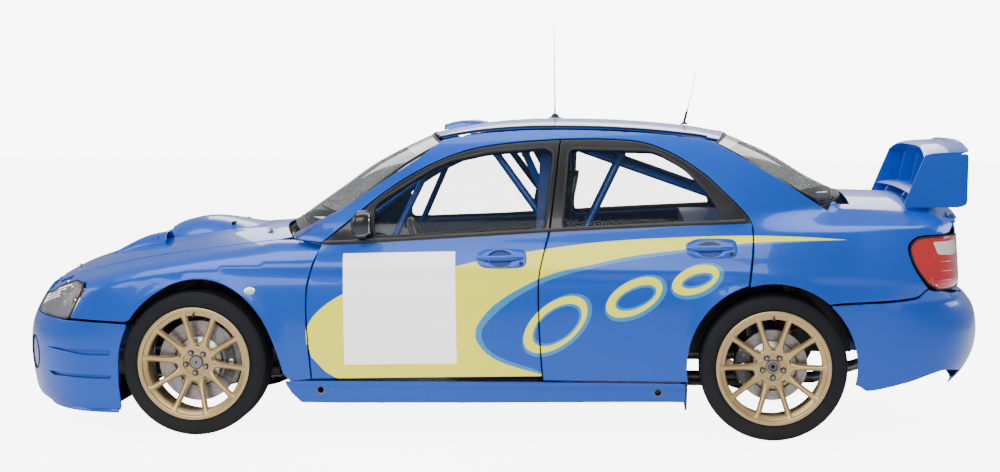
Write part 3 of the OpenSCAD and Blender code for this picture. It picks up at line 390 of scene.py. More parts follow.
def inside(poly, pts):
    p = np.array(poly, float)
    q = np.roll(p, -1, 0)
    x, y = pts[:, 0][:, None], pts[:, 1][:, None]
    cond = (p[:, 1] > y) != (q[:, 1] > y)
    with np.errstate(divide="ignore", invalid="ignore"):
        xi = (q[:, 0] - p[:, 0]) * (y - p[:, 1]) / (q[:, 1] - p[:, 1]) + p[:, 0]
    return (np.sum(cond & (x < xi), 1) % 2) == 1


def split(poly, step):
    """The same outline with points added, so that no edge is longer than step."""
    out = []
    for (a, b), (c, d) in zip(poly, list(poly[1:]) + list(poly[:1])):
        n = max(1, int(math.ceil(math.hypot(c - a, d - b) / step)))
        out += [(a + (c - a) * k / n, b + (d - b) * k / n) for k in range(n)]
    return out


def near(poly, pts, d):
    """Which points are nearer than d to the outline."""
    p = np.array(poly, float)
    q = np.roll(p, -1, 0)
    e = q - p
    l2 = np.sum(e * e, -1) + 1e-9
    t = np.clip(np.sum((pts[:, None] - p) * e, -1) / l2, 0, 1)
    return np.min(np.hypot(*np.moveaxis(pts[:, None] - (p + t[..., None] * e), -1, 0)), 1) < d


def arc(cx, r, a0, a1, grow=0, step=3):
    n = max(2, int(abs(a1 - a0) / step))
    ts = np.linspace(a0, a1, n + 1)
    rr = (curve(FRONT_ARCH, ts) if r is None else r) + grow
    return [(cx + k * math.cos(math.radians(t)), AXLE_Z + k * math.sin(math.radians(t)))
            for t, k in zip(ts, rr + 0 * ts)]


# ---- finished pieces ----
def material_slots(obj, names):
    for n in names:
        obj.data.materials.append(MATERIALS[n])


def add_piece(name, verts, faces, materials, body, index=None, stands_for=(), normals=None, smooth=True):
    """A mesh piece from points in millimetres, riding on a body."""
    me = bpy.data.meshes.new(name)
    me.from_pydata([tuple(float(c) * 0.001 for c in v) for v in verts], [], [tuple(f) for f in faces])
    obj = bpy.data.objects.new(name, me)
    bpy.context.scene.collection.objects.link(obj)
    material_slots(obj, materials)
    if index is not None:
        me.polygons.foreach_set("material_index", [int(i) for i in index])
    if smooth:
        me.polygons.foreach_set("use_smooth", [True] * len(me.polygons))
    me.update()
    if normals is not None:
        me.normals_split_custom_set([tuple(n) for n in normals])
    mount(obj, body, stands_for)
    return obj


def mount(obj, body, stands_for=()):
    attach(obj, body)
    if stands_for:
        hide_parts(*stands_for)


def panel_mesh(surface, outline, side=1, zones=(), holes=(), pitch=26, depth=0, thick=8, edge=2.0, back_edge=0.5,
               flip=None, rings=3):
    """Closed sheet on a surface: crisp colour zones, rolled edges, back face. Returns points, faces, zones, normals."""
    flip = surface in INWARD if flip is None else flip
    outline = split(grown(outline, 0), pitch)
    holes = [split(grown(h, 0), pitch) for h in holes]
    zones = [(split(z, pitch), k) for z, k in zones]
    pts, edges = [], []
    for poly in [outline] + holes + [list(z) for z, _ in zones]:
        k = len(pts)
        pts += [tuple(q) for q in poly]
        edges += [(k + i, k + (i + 1) % len(poly)) for i in range(len(poly))]
    o = np.array(outline)
    lo, hi = o.min(0), o.max(0)
    gx, gy = np.meshgrid(np.arange(lo[0] + pitch / 2, hi[0], pitch), np.arange(lo[1] + pitch / 2, hi[1], pitch))
    gx = gx + (np.arange(gx.shape[0]) % 2)[:, None] * pitch / 2
    g = np.stack([gx.ravel(), gy.ravel()], -1)
    g = g[inside(outline, g) & ~near(outline, g, pitch * 0.45 + edge)]
    for h in holes:
        g = g[~inside(h, g)]
        if len(g):
            g = g[~near(h, g, pitch * 0.45 + edge)]
    for z, _ in zones:
        if len(g):
            g = g[~near(z, g, pitch * 0.3)]
    pts += [tuple(q) for q in g]
    out = delaunay_2d_cdt([Vector(p) for p in pts], edges, [], 0, 1e-4)
    v2 = np.array([tuple(p) for p in out[0]], float)
    tri = np.array([f for f in out[2] if len(f) == 3], int)
    mid = v2[tri].mean(1)
    a = v2[tri]
    big = np.abs((a[:, 1, 0] - a[:, 0, 0]) * (a[:, 2, 1] - a[:, 0, 1])
                 - (a[:, 2, 0] - a[:, 0, 0]) * (a[:, 1, 1] - a[:, 0, 1])) > 1e-4
    keep = inside(outline, mid) & big
    for h in holes:
        keep &= ~inside(h, mid)
    tri, mid = tri[keep], mid[keep]
    zone = np.zeros(len(tri), int)
    for poly, k in zones:
        zone[inside(poly, mid)] = k
    a = v2[tri]
    turn = (a[:, 1, 0] - a[:, 0, 0]) * (a[:, 2, 1] - a[:, 0, 1]) - (a[:, 2, 0] - a[:, 0, 0]) * (a[:, 1, 1] - a[:, 0, 1])
    tri[turn < 0] = tri[turn < 0][:, ::-1]
    used = np.unique(tri)
    remap = -np.ones(len(v2), int)
    remap[used] = np.arange(len(used))
    v2, tri = v2[used], remap[tri]
    # boundary edges, in the direction of their triangle
    directed = {}
    for k, t in enumerate(tri):
        for i in range(3):
            directed[(t[i], t[(i + 1) % 3])] = k
    rim = [(e, k) for e, k in directed.items() if (e[1], e[0]) not in directed]
    out2 = np.zeros_like(v2)
    for (i, j), _ in rim:
        e = v2[j] - v2[i]
        n = np.array([e[1], -e[0]]) / (np.hypot(*e) + 1e-9)
        out2[i] += n
        out2[j] += n
    length = np.hypot(*out2.T)
    out2[length > 0] /= length[length > 0][:, None]

    def lift(p2, d, s=side):
        u, v = p2[:, 0], p2[:, 1]
        p = surface(u, v)
        h = 0.6
        du = (surface(u + h, v) - surface(u - h, v)) / (2 * h)
        dv = (surface(u, v + h) - surface(u, v - h)) / (2 * h)
        n = np.cross(du, dv)
        n /= np.linalg.norm(n, axis=-1)[:, None] + 1e-12
        if flip:
            n = -n
        out3 = du * out2_now[:, :1] + dv * out2_now[:, 1:]
        out3 /= np.linalg.norm(out3, axis=-1)[:, None] + 1e-12
        q = p - n * np.asarray(d)[..., None] if np.ndim(d) else p - n * d
        m = np.array([1, s, 1])
        return q * m, n * m, out3 * m

    out2_now = out2
    border = length > 0
    scale_uv = 1.0
    front2 = v2 - out2 * edge * scale_uv * border[:, None]
    P0, N0, _ = lift(front2, depth)
    verts = [P0]
    count = len(v2)
    border_ids = np.nonzero(border)[0]
    local = -np.ones(count, int)
    local[border_ids] = np.arange(len(border_ids))
    out2_now = out2[border_ids]
    ring_index = [border_ids]
    ring_normal = [N0[border_ids]]
    steps = [(edge * (math.sin(t) - 1), edge * (1 - math.cos(t)), t)
             for t in [math.pi / 2 * k / rings for k in range(1, rings + 1)]]
    if back_edge > 0.6:
        steps += [(0, thick - back_edge, math.pi / 2),
                  (back_edge * (math.cos(0.8) - 1), thick - back_edge * (1 - math.sin(0.8)), math.pi * 0.75)]
    back_off = -back_edge if back_edge > 0.6 else 0
    for off, d, t in steps:
        P, N, O = lift(v2[border_ids] + out2[border_ids] * off, depth + d)
        ring_index.append(count + np.arange(len(P)))
        ring_normal.append(N * math.cos(t) + O * math.sin(t))
        verts.append(P)
        count += len(P)
    out2_now = out2
    PB, NB, OB = lift(v2 + out2 * back_off, depth + thick)
    back0 = count
    verts.append(PB)
    ring_index.append(back0 + border_ids)
    ring_normal.append(OB[border_ids])
    faces, index, normals = [], [], []
    mirror = (side < 0) != flip

    def put(f, ns, k):
        if mirror:
            f, ns = f[::-1], ns[::-1]
        faces.append(f)
        normals.extend(ns)
        index.append(k)

    for t, k in zip(tri, zone):
        put(list(t), [N0[i] for i in t], k)
        put([back0 + i for i in t[::-1]], [-NB[i] for i in t[::-1]], k if thick < 5 else 0)
    for (i, j), k in rim:
        li, lj = local[i], local[j]
        for r in range(len(ring_index) - 1):
            a, b = ring_index[r], ring_index[r + 1]
            na, nb = ring_normal[r], ring_normal[r + 1]
            if r == len(ring_index) - 2:
                nb = na
            put([a[li], b[li], b[lj], a[lj]], [na[li], nb[li], nb[lj], na[lj]], zone[k])
    return np.concatenate(verts), faces, index, normals


def panel(name, surface, outline, materials, body, slot="body_paint", stands_for=(), **kw):
    v, f, i, n = panel_mesh(surface, outline, **kw)
    return add_piece(name, v, f, materials, body, i, stands_for, n)


def tube_mesh(path, radius, sides=10, closed=False):
    """Closed tube along points; radius may be one number or one for each point."""
    p = np.array(path, float)
    n = len(p)
    r = np.broadcast_to(np.asarray(radius, float), (n,))
    if closed:
        t = np.roll(p, -1, 0) - np.roll(p, 1, 0)
    else:
        t = np.gradient(p, axis=0)
    t /= np.linalg.norm(t, axis=1)[:, None] + 1e-12
    up = np.array([0, 0, 1.0]) if abs(t[0][2]) < 0.9 else np.array([1.0, 0, 0])
    a = np.cross(t[0], up)
    a /= np.linalg.norm(a)
    verts, frames = [], []
    for i in range(n):
        a = a - t[i] * np.dot(a, t[i])
        a /= np.linalg.norm(a) + 1e-12
        frames.append(a.copy())
    twist = 0.0
    if closed:
        b0 = frames[0]
        last = frames[-1] - t[0] * np.dot(frames[-1], t[0])
        last /= np.linalg.norm(last)
        twist = math.atan2(np.dot(np.cross(last, b0), t[0]), np.dot(last, b0))
    for i in range(n):
        a = frames[i]
        b = np.cross(t[i], a)
        w = twist * i / n
        a, b = a * math.cos(w) + b * math.sin(w), b * math.cos(w) - a * math.sin(w)
        for k in range(sides):
            g = 2 * math.pi * k / sides
            verts.append(p[i] + r[i] * (a * math.cos(g) + b * math.sin(g)))
    faces = []
    for i in range(n if closed else n - 1):
        j = (i + 1) % n
        for k in range(sides):
            m = (k + 1) % sides
            faces.append([i * sides + k, i * sides + m, j * sides + m, j * sides + k])
    if not closed:
        faces.append([k for k in range(sides)][::-1])
        faces.append([(n - 1) * sides + k for k in range(sides)])
    return verts, faces


def lathe_mesh(profile, sides=48, a0=0.0, a1=360.0):
    """Solid turned about Z from a closed profile of (r, z), counter-clockwise seen with r to the right."""
    full = a1 - a0 >= 359.9
    n = sides if full else sides + 1
    verts, faces = [], []
    m = len(profile)
    for i in range(n):
        g = math.radians(a0 + (a1 - a0) * i / sides)
        verts += [(r * math.cos(g), r * math.sin(g), z) for r, z in profile]
    for i in range(sides):
        j = (i + 1) % n
        for k in range(m):
            l = (k + 1) % m
            if profile[k][0] < 1e-6 and profile[l][0] < 1e-6:
                continue
            if profile[k][0] < 1e-6:
                faces.append([i * m + k, j * m + l, i * m + l])
            elif profile[l][0] < 1e-6:
                faces.append([i * m + k, j * m + k, i * m + l])
            else:
                faces.append([i * m + k, j * m + k, j * m + l, i * m + l])
    if not full:
        faces.append([k for k in range(m)][::-1])
        faces.append([sides * m + k for k in range(m)])
    return verts, faces


def box_mesh(low, high):
    (a, b, c), (d, e, f) = low, high
    v = [(a, b, c), (d, b, c), (d, e, c), (a, e, c), (a, b, f), (d, b, f), (d, e, f), (a, e, f)]
    return v, [[0, 3, 2, 1], [4, 5, 6, 7], [0, 1, 5, 4], [1, 2, 6, 5], [2, 3, 7, 6], [3, 0, 4, 7]]


def prism_mesh(points, t0, t1, axis="y"):
    """Outline in two coordinates carried along the third."""
    pts = list(points) if area(points) > 0 else list(points)[::-1]
    n = len(pts)
    v = []
    for t in (t0, t1):
        for a, b in pts:
            v.append({"y": (a, t, b), "x": (t, a, b), "z": (a, b, t)}[axis])
    f = [list(range(n))[::-1], [n + i for i in range(n)]]
    f += [[i, (i + 1) % n, n + (i + 1) % n, n + i] for i in range(n)]
    return v, f


class Parts:
    """Several shapes gathered into one piece, each with its material."""

    def __init__(self):
        self.bm = bmesh.new()
        self.materials = []

    def add(self, mesh, material, matrix=None, flat=False, bevel=0.0):
        verts, faces = mesh[:2]
        if material not in self.materials:
            self.materials.append(material)
        k = self.materials.index(material)
        vs = []
        for v in verts:
            q = Vector(v)
            vs.append(self.bm.verts.new(matrix @ q if matrix else q))
        made = []
        for f in faces:
            if len(set(f)) < 3:
                continue
            try:
                g = self.bm.faces.new([vs[i] for i in f])
            except ValueError:
                continue
            g.material_index = k
            g.smooth = not flat
            made.append(g)
        if bevel:
            edges = {e for g in made for e in g.edges if e.is_manifold and e.calc_face_angle(0) > 0.5}
            bmesh.ops.bevel(self.bm, geom=list(edges), offset=bevel, segments=2, affect="EDGES", profile=0.6,
                            clamp_overlap=True)
        return self

    def finish(self, name, body, stands_for=(), sharp=40, mirror_y=False):
        bm = self.bm
        bmesh.ops.remove_doubles(bm, verts=bm.verts, dist=0.01)
        if mirror_y:
            bmesh.ops.transform(bm, matrix=Matrix.Diagonal((1, -1, 1, 1)), verts=bm.verts)
        bmesh.ops.recalc_face_normals(bm, faces=bm.faces)
        me = bpy.data.meshes.new(name)
        bmesh.ops.scale(bm, vec=(0.001,) * 3, verts=bm.verts)
        bm.to_mesh(me)
        bm.free()
        obj = bpy.data.objects.new(name, me)
        bpy.context.scene.collection.objects.link(obj)
        material_slots(obj, self.materials)
        me.set_sharp_from_angle(angle=math.radians(sharp))
        mount(obj, body, stands_for)
        return obj


# ---- shader groups and materials ----
MATERIALS = {}


def new_group(name, inputs, outputs):
    tree = bpy.data.node_groups.new(name, "ShaderNodeTree")
    for label, kind, value in inputs:
        s = tree.interface.new_socket(name=label, in_out="INPUT", socket_type=kind)
        s.default_value = value
    for label, kind in outputs:
        tree.interface.new_socket(name=label, in_out="OUTPUT", socket_type=kind)
    return tree, tree.nodes.new("NodeGroupInput"), tree.nodes.new("NodeGroupOutput")


def math_node(tree, op, a, b=None, clamp=False):
    n = tree.nodes.new("ShaderNodeMath")
    n.operation = op
    n.use_clamp = clamp
    for i, v in enumerate((a, b)):
        if v is None:
            continue
        if isinstance(v, (int, float)):
            n.inputs[i].default_value = v
        else:
            tree.links.new(v, n.inputs[i])
    return n.outputs[0]


def noise_node(tree, scale, detail=2.0, vector=None, rough=0.5):
    n = tree.nodes.new("ShaderNodeTexNoise")
    n.inputs["Detail"].default_value = detail
    n.inputs["Roughness"].default_value = rough
    if isinstance(scale, (int, float)):
        n.inputs["Scale"].default_value = scale
    else:
        tree.links.new(scale, n.inputs["Scale"])
    if vector is None:
        vector = tree.nodes.new("ShaderNodeTexCoord").outputs["Object"]
    tree.links.new(vector, n.inputs["Vector"])
    return n.outputs[0]


def dust_group():
    """Road dust: more of it low down and in faint clouds."""
    tree, gin, gout = new_group("road dust", [("Amount", "NodeSocketFloat", 0.2), ("Height", "NodeSocketFloat", 0.5),
                                              ("Scale", "NodeSocketFloat", 6.0)], [("Mask", "NodeSocketFloat")])
    coord = tree.nodes.new("ShaderNodeTexCoord")
    xyz = tree.nodes.new("ShaderNodeSeparateXYZ")
    tree.links.new(coord.outputs["Object"], xyz.inputs[0])
    fall = math_node(tree, "SUBTRACT", 1.0, math_node(tree, "DIVIDE", xyz.outputs[2], gin.outputs["Height"]), True)
    cloud = noise_node(tree, gin.outputs["Scale"], 5.0, coord.outputs["Object"], 0.6)
    low = math_node(tree, "MULTIPLY", fall, cloud)
    tree.links.new(math_node(tree, "MULTIPLY", low, gin.outputs["Amount"], True), gout.inputs["Mask"])
    return tree


def edge_wear_and_highlight_group():
    """Convex edges, broken up by noise: rubbed wear on most finishes, and on the gold rims, where the edge tint is pale
    gold, a painted highlight.
    """
    tree, gin, gout = new_group("edge wear and highlight", [("Amount", "NodeSocketFloat", 0.5), ("Scale", "NodeSocketFloat", 40.0)],
                                [("Mask", "NodeSocketFloat")])
    geo = tree.nodes.new("ShaderNodeNewGeometry")
    ridge = math_node(tree, "MULTIPLY", math_node(tree, "SUBTRACT", geo.outputs["Pointiness"], 0.52), 14.0, True)
    chips = noise_node(tree, gin.outputs["Scale"], 4.0)
    both = math_node(tree, "MULTIPLY", ridge, chips)
    tree.links.new(math_node(tree, "MULTIPLY", both, gin.outputs["Amount"], True), gout.inputs["Mask"])
    return tree


def grain_group():
    """Fine surface grain as a height, with slow patches in it as a mask."""
    tree, gin, gout = new_group("fine grain", [("Scale", "NodeSocketFloat", 400.0), ("Patch", "NodeSocketFloat", 5.0)],
                                [("Height", "NodeSocketFloat"), ("Mask", "NodeSocketFloat")])
    tree.links.new(noise_node(tree, gin.outputs["Scale"], 3.0), gout.inputs["Height"])
    tree.links.new(noise_node(tree, gin.outputs["Patch"], 3.0), gout.inputs["Mask"])
    return tree


def weave_group():
    """Two crossing yarns as a height and a shade."""
    tree, gin, gout = new_group("cloth weave", [("Scale", "NodeSocketFloat", 500.0)],
                                [("Height", "NodeSocketFloat"), ("Mask", "NodeSocketFloat")])
    coord = tree.nodes.new("ShaderNodeTexCoord")
    out = []
    for direction in ("X", "Z"):
        w = tree.nodes.new("ShaderNodeTexWave")
        w.wave_type = "BANDS"
        w.bands_direction = direction
        w.inputs["Distortion"].default_value = 0.6
        tree.links.new(gin.outputs["Scale"], w.inputs["Scale"])
        tree.links.new(coord.outputs["Object"], w.inputs["Vector"])
        out.append(w.outputs[1])
    both = math_node(tree, "MULTIPLY", out[0], out[1])
    tree.links.new(both, gout.inputs["Height"])
    fuzz = noise_node(tree, 60.0, 4.0, coord.outputs["Object"])
    tree.links.new(math_node(tree, "MULTIPLY", both, fuzz), gout.inputs["Mask"])
    return tree


def finish_material(name, base, rough, metal=0.0, coat=0.0, grain=(400.0, 0.0), patch=0.06, dust=0.0, wear=0.0,
                    wear_color=(0.6, 0.6, 0.6), weave=0.0, dust_height=0.55, flake=0.0, clear=0.0, ior=1.5, sheen=0.0,
                    alpha=1.0, emit=0.0, coat_rough=0.04, spec=0.5):
    """A finish: base colour with slow patches, dust, tinted convex edges (rubbed wear; on the gold rims a painted
    highlight), a glow where emit is set, and grain or weave as relief.
    """
    m = bpy.data.materials.new(name)
    m.use_nodes = True
    tree = m.node_tree
    tree.nodes.clear()
    out = tree.nodes.new("ShaderNodeOutputMaterial")
    p = tree.nodes.new("ShaderNodeBsdfPrincipled")
    tree.links.new(p.outputs[0], out.inputs[0])
    p.inputs["Metallic"].default_value = metal
    p.inputs["Coat Weight"].default_value = coat
    p.inputs["Coat Roughness"].default_value = coat_rough
    p.inputs["IOR"].default_value = ior
    p.inputs["Transmission Weight"].default_value = clear
    p.inputs["Sheen Weight"].default_value = sheen
    p.inputs["Alpha"].default_value = alpha
    p.inputs["Specular IOR Level"].default_value = spec
    groups = bpy.data.node_groups
    g = tree.nodes.new("ShaderNodeGroup")
    g.node_tree = groups["cloth weave"] if weave else groups["fine grain"]
    if weave:
        g.inputs["Scale"].default_value = weave
    else:
        g.inputs["Scale"].default_value = grain[0]

    def mixed(a, b, factor):
        n = tree.nodes.new("ShaderNodeMix")
        n.data_type = "RGBA"
        for socket, v in ((6, a), (7, b)):
            if isinstance(v, tuple):
                n.inputs[socket].default_value = (*v[:3], 1)
            else:
                tree.links.new(v, n.inputs[socket])
        tree.links.new(factor, n.inputs[0])
        return n.outputs[2]

    dark = tuple(max(0, c * (1 - patch * 2)) for c in base)
    light = tuple(min(1, c * (1 + patch)) for c in base)
    colour = mixed(dark, light, g.outputs["Mask"])
    rough_out = math_node(tree, "ADD", math_node(tree, "MULTIPLY", g.outputs["Mask"], 0.12 if rough > 0.2 else 0.02),
                          rough - (0.06 if rough > 0.2 else 0.0), True)
    if flake:
        spark = noise_node(tree, 2600.0, 0.0)
        colour = mixed(colour, tuple(min(1, c * 1.5 + 0.02) for c in base), math_node(tree, "MULTIPLY", spark, flake))
    # tint on convex edges: real rubbed wear on most finishes, a painted highlight on the gold rims
    if wear:
        w = tree.nodes.new("ShaderNodeGroup")
        w.node_tree = groups["edge wear and highlight"]
        w.inputs["Amount"].default_value = wear
        colour = mixed(colour, wear_color, w.outputs[0])
    if dust:
        d = tree.nodes.new("ShaderNodeGroup")
        d.node_tree = groups["road dust"]
        d.inputs["Amount"].default_value = dust
        d.inputs["Height"].default_value = dust_height
        colour = mixed(colour, (0.28, 0.24, 0.2), d.outputs[0])
        rough_out = math_node(tree, "ADD", rough_out, math_node(tree, "MULTIPLY", d.outputs[0], 0.5), True)
    tree.links.new(colour, p.inputs["Base Color"])
    if clear:
        p.inputs["Roughness"].default_value = rough
    else:
        tree.links.new(rough_out, p.inputs["Roughness"])
    if grain[1] or weave:
        b = tree.nodes.new("ShaderNodeBump")
        b.inputs["Distance"].default_value = 0.001
        b.inputs["Strength"].default_value = grain[1] if grain[1] else 0.5
        tree.links.new(g.outputs["Height"], b.inputs["Height"])
        tree.links.new(b.outputs[0], p.inputs["Normal"])
    # glow: on the yellow and white paints a painted glow (painted light); on the floor it keeps the backdrop evenly
    # bright
    if emit:
        tree.links.new(colour, p.inputs["Emission Color"])
        p.inputs["Emission Strength"].default_value = emit
    MATERIALS[name] = m
    return m


def glass_material(name, tint, alpha, rough=0.01):
    """Thin tinted glass: see-through face on, mirror-like at a glance."""
    m = finish_material(name, tint, rough, grain=(3.0, 0.0), patch=0.0)
    tree = m.node_tree
    p = next(n for n in tree.nodes if n.type == "BSDF_PRINCIPLED")
    f = tree.nodes.new("ShaderNodeLayerWeight")
    f.inputs["Blend"].default_value = 0.25
    a = math_node(tree, "ADD", math_node(tree, "MULTIPLY", f.outputs["Fresnel"], 0.6), alpha, True)
    tree.links.new(a, p.inputs["Alpha"])
    p.inputs["Specular IOR Level"].default_value = 0.6
    return m


def make_materials(look):
    for build in (dust_group, edge_wear_and_highlight_group, grain_group, weave_group):
        build()
    blue, yellow, cyan = tuple(look.blue), tuple(look.yellow), tuple(look.light_blue)
    f = finish_material
    f("paint_blue", blue, 0.3, 0.2, 0.55, patch=0.03, dust=0.03, flake=0.2, coat_rough=0.03, spec=0.3)
    # the yellow glows (emit): painted light standing in for the fluorescent paint's brightness
    f("paint_yellow", yellow, 0.38, 0.0, 0.6, patch=0.02, dust=0.03, grain=(300.0, 0.02), emit=0.35, spec=0.3)
    f("paint_light_blue", cyan, 0.38, 0.0, 0.8, patch=0.02, dust=0.08)
    # the white glows strongly (emit 1.2): painted light
    f("paint_white", (0.95, 0.95, 0.95), 0.4, 0.0, 0.5, patch=0.01, emit=1.2)
    # inner paint: a darker copy of the body blue for the inside surfaces, painted shade; its dust and wear are real
    f("paint_inner_shaded", tuple(c * 0.55 for c in blue), 0.5, 0.0, 0.2, patch=0.1, dust=0.25, grain=(220.0, 0.08), wear=0.3)
    f("trim_black", (0.012, 0.012, 0.014), 0.42, 0, 0.15, (900.0, 0.12), 0.15, dust=0.1)
    f("trim_satin", (0.01, 0.01, 0.013), 0.25, 0, 0.4, (700.0, 0.03), 0.1)
    f("rubber_seal", (0.01, 0.01, 0.01), 0.6, grain=(1200.0, 0.15), patch=0.2)
    f("wire_mesh", (0.02, 0.02, 0.022), 0.4, 0.7, grain=(600.0, 0.1), patch=0.2, wear=0.3)
    # black for openings, slots and hollows: painted shade where there is only shade
    f("painted_shade_black", (0.004, 0.004, 0.004), 0.9, grain=(80.0, 0.2), patch=0.4)
    f("chrome", (0.9, 0.9, 0.92), 0.05, 1.0, grain=(90.0, 0.0), patch=0.01)
    f("lamp_silver", (0.75, 0.76, 0.78), 0.16, 1.0, grain=(60.0, 0.02), patch=0.04)
    f("lens_red", (0.62, 0.015, 0.02), 0.08, 0, 1.0, (30.0, 0.0), 0.06)
    f("lens_white", (0.85, 0.83, 0.82), 0.1, 0, 1.0, (30.0, 0.0), 0.03)
    f("lens_amber", (0.85, 0.3, 0.02), 0.1, 0, 1.0, (30.0, 0.0), 0.05)
    f("tyre_rubber", (0.009, 0.01, 0.014), 0.62, grain=(500.0, 0.12), patch=0.25, dust=0.1, dust_height=0.3, spec=0.25)
    # the gold rims' edge tint is a pale gold: a painted highlight along convex edges
    f("wheel_gold", tuple(look.gold), 0.32, 0.55, 0.25, (900.0, 0.03), 0.05, wear=0.25, wear_color=(0.95, 0.86, 0.62))
    f("disc_iron", (0.42, 0.38, 0.37), 0.3, 0.9, grain=(260.0, 0.06), patch=0.2)
    f("bell_alloy", (0.62, 0.62, 0.6), 0.28, 1.0, grain=(400.0, 0.05), patch=0.1)
    f("caliper_dark", (0.035, 0.035, 0.04), 0.35, 0.6, 0.2, (300.0, 0.12), 0.2, wear=0.4)
    f("nut_steel", (0.3, 0.27, 0.24), 0.3, 1.0, grain=(300.0, 0.05), patch=0.15, wear=0.5)
    f("hub_grey", (0.33, 0.31, 0.33), 0.35, 0.9, grain=(500.0, 0.05), patch=0.1)
    f("axle_steel", (0.13, 0.13, 0.135), 0.45, 0.8, grain=(250.0, 0.12), patch=0.25, dust=0.3, wear=0.4)
    f("spring_red", (0.5, 0.03, 0.03), 0.35, 0.0, 0.5, (300.0, 0.04), 0.1, dust=0.2)
    f("damper_silver", (0.5, 0.5, 0.52), 0.3, 1.0, grain=(300.0, 0.05), patch=0.1)
    f("guard_alloy", (0.45, 0.45, 0.44), 0.42, 0.9, grain=(120.0, 0.2), patch=0.2, dust=0.4, wear=0.6)
    f("engine_alloy", (0.4, 0.4, 0.41), 0.45, 0.9, grain=(180.0, 0.25), patch=0.15)
    f("exhaust_steel", (0.35, 0.33, 0.3), 0.35, 1.0, grain=(150.0, 0.1), patch=0.3, dust=0.3)
    f("cage_blue", tuple(c * 0.85 for c in blue), 0.35, 0.0, 0.5, (300.0, 0.03), 0.05)
    f("seat_shell", (0.02, 0.02, 0.024), 0.25, 0.0, 0.8, (200.0, 0.05), 0.3)
    f("seat_cloth", (0.018, 0.02, 0.03), 0.9, grain=(500.0, 0.5), patch=0.2, weave=420.0, sheen=0.4)
    f("belt_red", (0.35, 0.01, 0.015), 0.7, grain=(500.0, 0.4), patch=0.1, weave=600.0, sheen=0.2)
    f("cockpit_suede", (0.02, 0.02, 0.022), 0.95, grain=(700.0, 0.35), patch=0.25, sheen=0.5)
    f("carbon_black", (0.015, 0.015, 0.017), 0.3, 0.0, 0.7, (300.0, 0.1), 0.3, weave=260.0)
    f("screen_grey", (0.05, 0.07, 0.08), 0.15, 0.0, 0.5)
    floor = f("floor_white", (0.85, 0.85, 0.85), 0.6, grain=(40.0, 0.0), patch=0.01, emit=1.0)
    seen = floor.node_tree.nodes.new("ShaderNodeLightPath")
    shine = next(n for n in floor.node_tree.nodes if n.type == "BSDF_PRINCIPLED").inputs["Emission Strength"]
    floor.node_tree.links.new(math_node(floor.node_tree, "MULTIPLY", seen.outputs["Is Camera Ray"], CAMERA_RAY_BOOST),
                              shine)
    glass_material("glass_side", (0.02, 0.035, 0.035), 0.12)
    glass_material("glass_screen", (0.03, 0.04, 0.045), 0.16)
    glass_material("glass_lamp", (0.35, 0.36, 0.38), 0.1)


# ---- seams of the body, in x and z ----
SILL_TOP = 250.0
WING_SEAM = [(738, 848), (772, 749), (795, 653), (797, 519), (786, 366), (775, SILL_TOP)]
DOOR_SEAM = [(-310, 1303), (-268, 903), (-251, 834), (-225, 704), (-225, 532), (-234, 359), (-243, SILL_TOP)]
FRAME_FRONT = [(-310, 1303), (-100, 1288), (100, 1255), (272, 1188), (448, 1083), (642, 925), (738, 848)]
FRAME_REAR = [(-1150, 944), (-1119, 988), (-1029, 1078), (-939, 1158), (-805, 1242), (-671, 1291), (-493, 1305),
              (-310, 1303)]
QUARTER_SEAM = [(-1148, 776), (-1153, 864), (-1150, 944)]
FRONT_GLASS = [(507, 874), (512, 1012), (445, 1058), (270, 1167), (182, 1207), (7, 1246), (-250, 1266), (-284, 1240),
               (-250, 903)]
REAR_GLASS = [(-324, 908), (-345, 1262), (-725, 1254), (-850, 1185), (-957, 1078), (-1002, 1007), (-1029, 944)]
BELT_LOW = [(760, 836), (473, 851), (-250, 897), (-650, 919), (-1180, 945)]
SWOOSH_TOP = [(797, 420), (796, 479), (743, 554), (641, 625), (469, 692), (144, 751), (52, 773), (-165, 814),
              (-491, 859), (-836, 882), (-1146, 892), (-1351, 888), (-1556, 876)]
SWOOSH_IN = [(-1556, 876), (-1351, 871), (-1146, 862), (-1009, 848), (-854, 830), (-647, 803), (-478, 767),
             (-287, 723), (-139, 656), (-26, 581), (40, 502), (53, 445), (22, 388), (-43, 340), (-140, 306),
             (-238, 280)]
OVAL_IN = [(-1351, 865), (-1146, 852), (-1009, 837), (-854, 817), (-647, 786), (-478, 752), (-290, 701), (-157, 637),
           (-63, 570), (13, 493), (26, 445), (-4, 388), (-83, 342), (-196, 306), (-238, 291)]
SQUARE = [(637, 804), (143, 816), (135, 325), (629, 317)]


def livery():
    """Yellow swoosh, its light-blue border, the blank number square and three plain rings."""
    bottom = [(-238, 254), (647, 246), (713, 285), (775, 351)]
    band = bend(SWOOSH_TOP, 22) + bend(SWOOSH_IN, 22)[1:] + bottom
    inner = bend(SWOOSH_IN, 22) + bend(OVAL_IN[::-1], 22)
    zones = [(band, 1), (inner, 2)]
    for cx, cz, a, b, turn in ((-298, 500, 150, 122, 22), (-640, 622, 128, 84, 18), (-905, 700, 104, 64, 14)):
        for grow_by, hole, k in ((14, 0, 2), (0, 0, 1), (-34, 1, 2), (-46, 1, 3)):
            ring = []
            for t in np.linspace(0, 2 * math.pi, 40, endpoint=False):
                x = (a + grow_by) * math.cos(t) + (8 if grow_by == 14 else 0) + hole * 8
                z = (b + grow_by * 0.95) * math.sin(t) - (7 if grow_by == 14 else 0) - hole * 5
                c, s = math.cos(math.radians(turn)), math.sin(math.radians(turn))
                ring.append((cx - x * c - z * s * 0.25, cz + z * c + x * s))
            zones.append((ring, {1: 1, 2: 2, 3: 0}[k]))
    # the number square takes the glowing white: painted light
    zones.append((SQUARE, 3))
    return zones


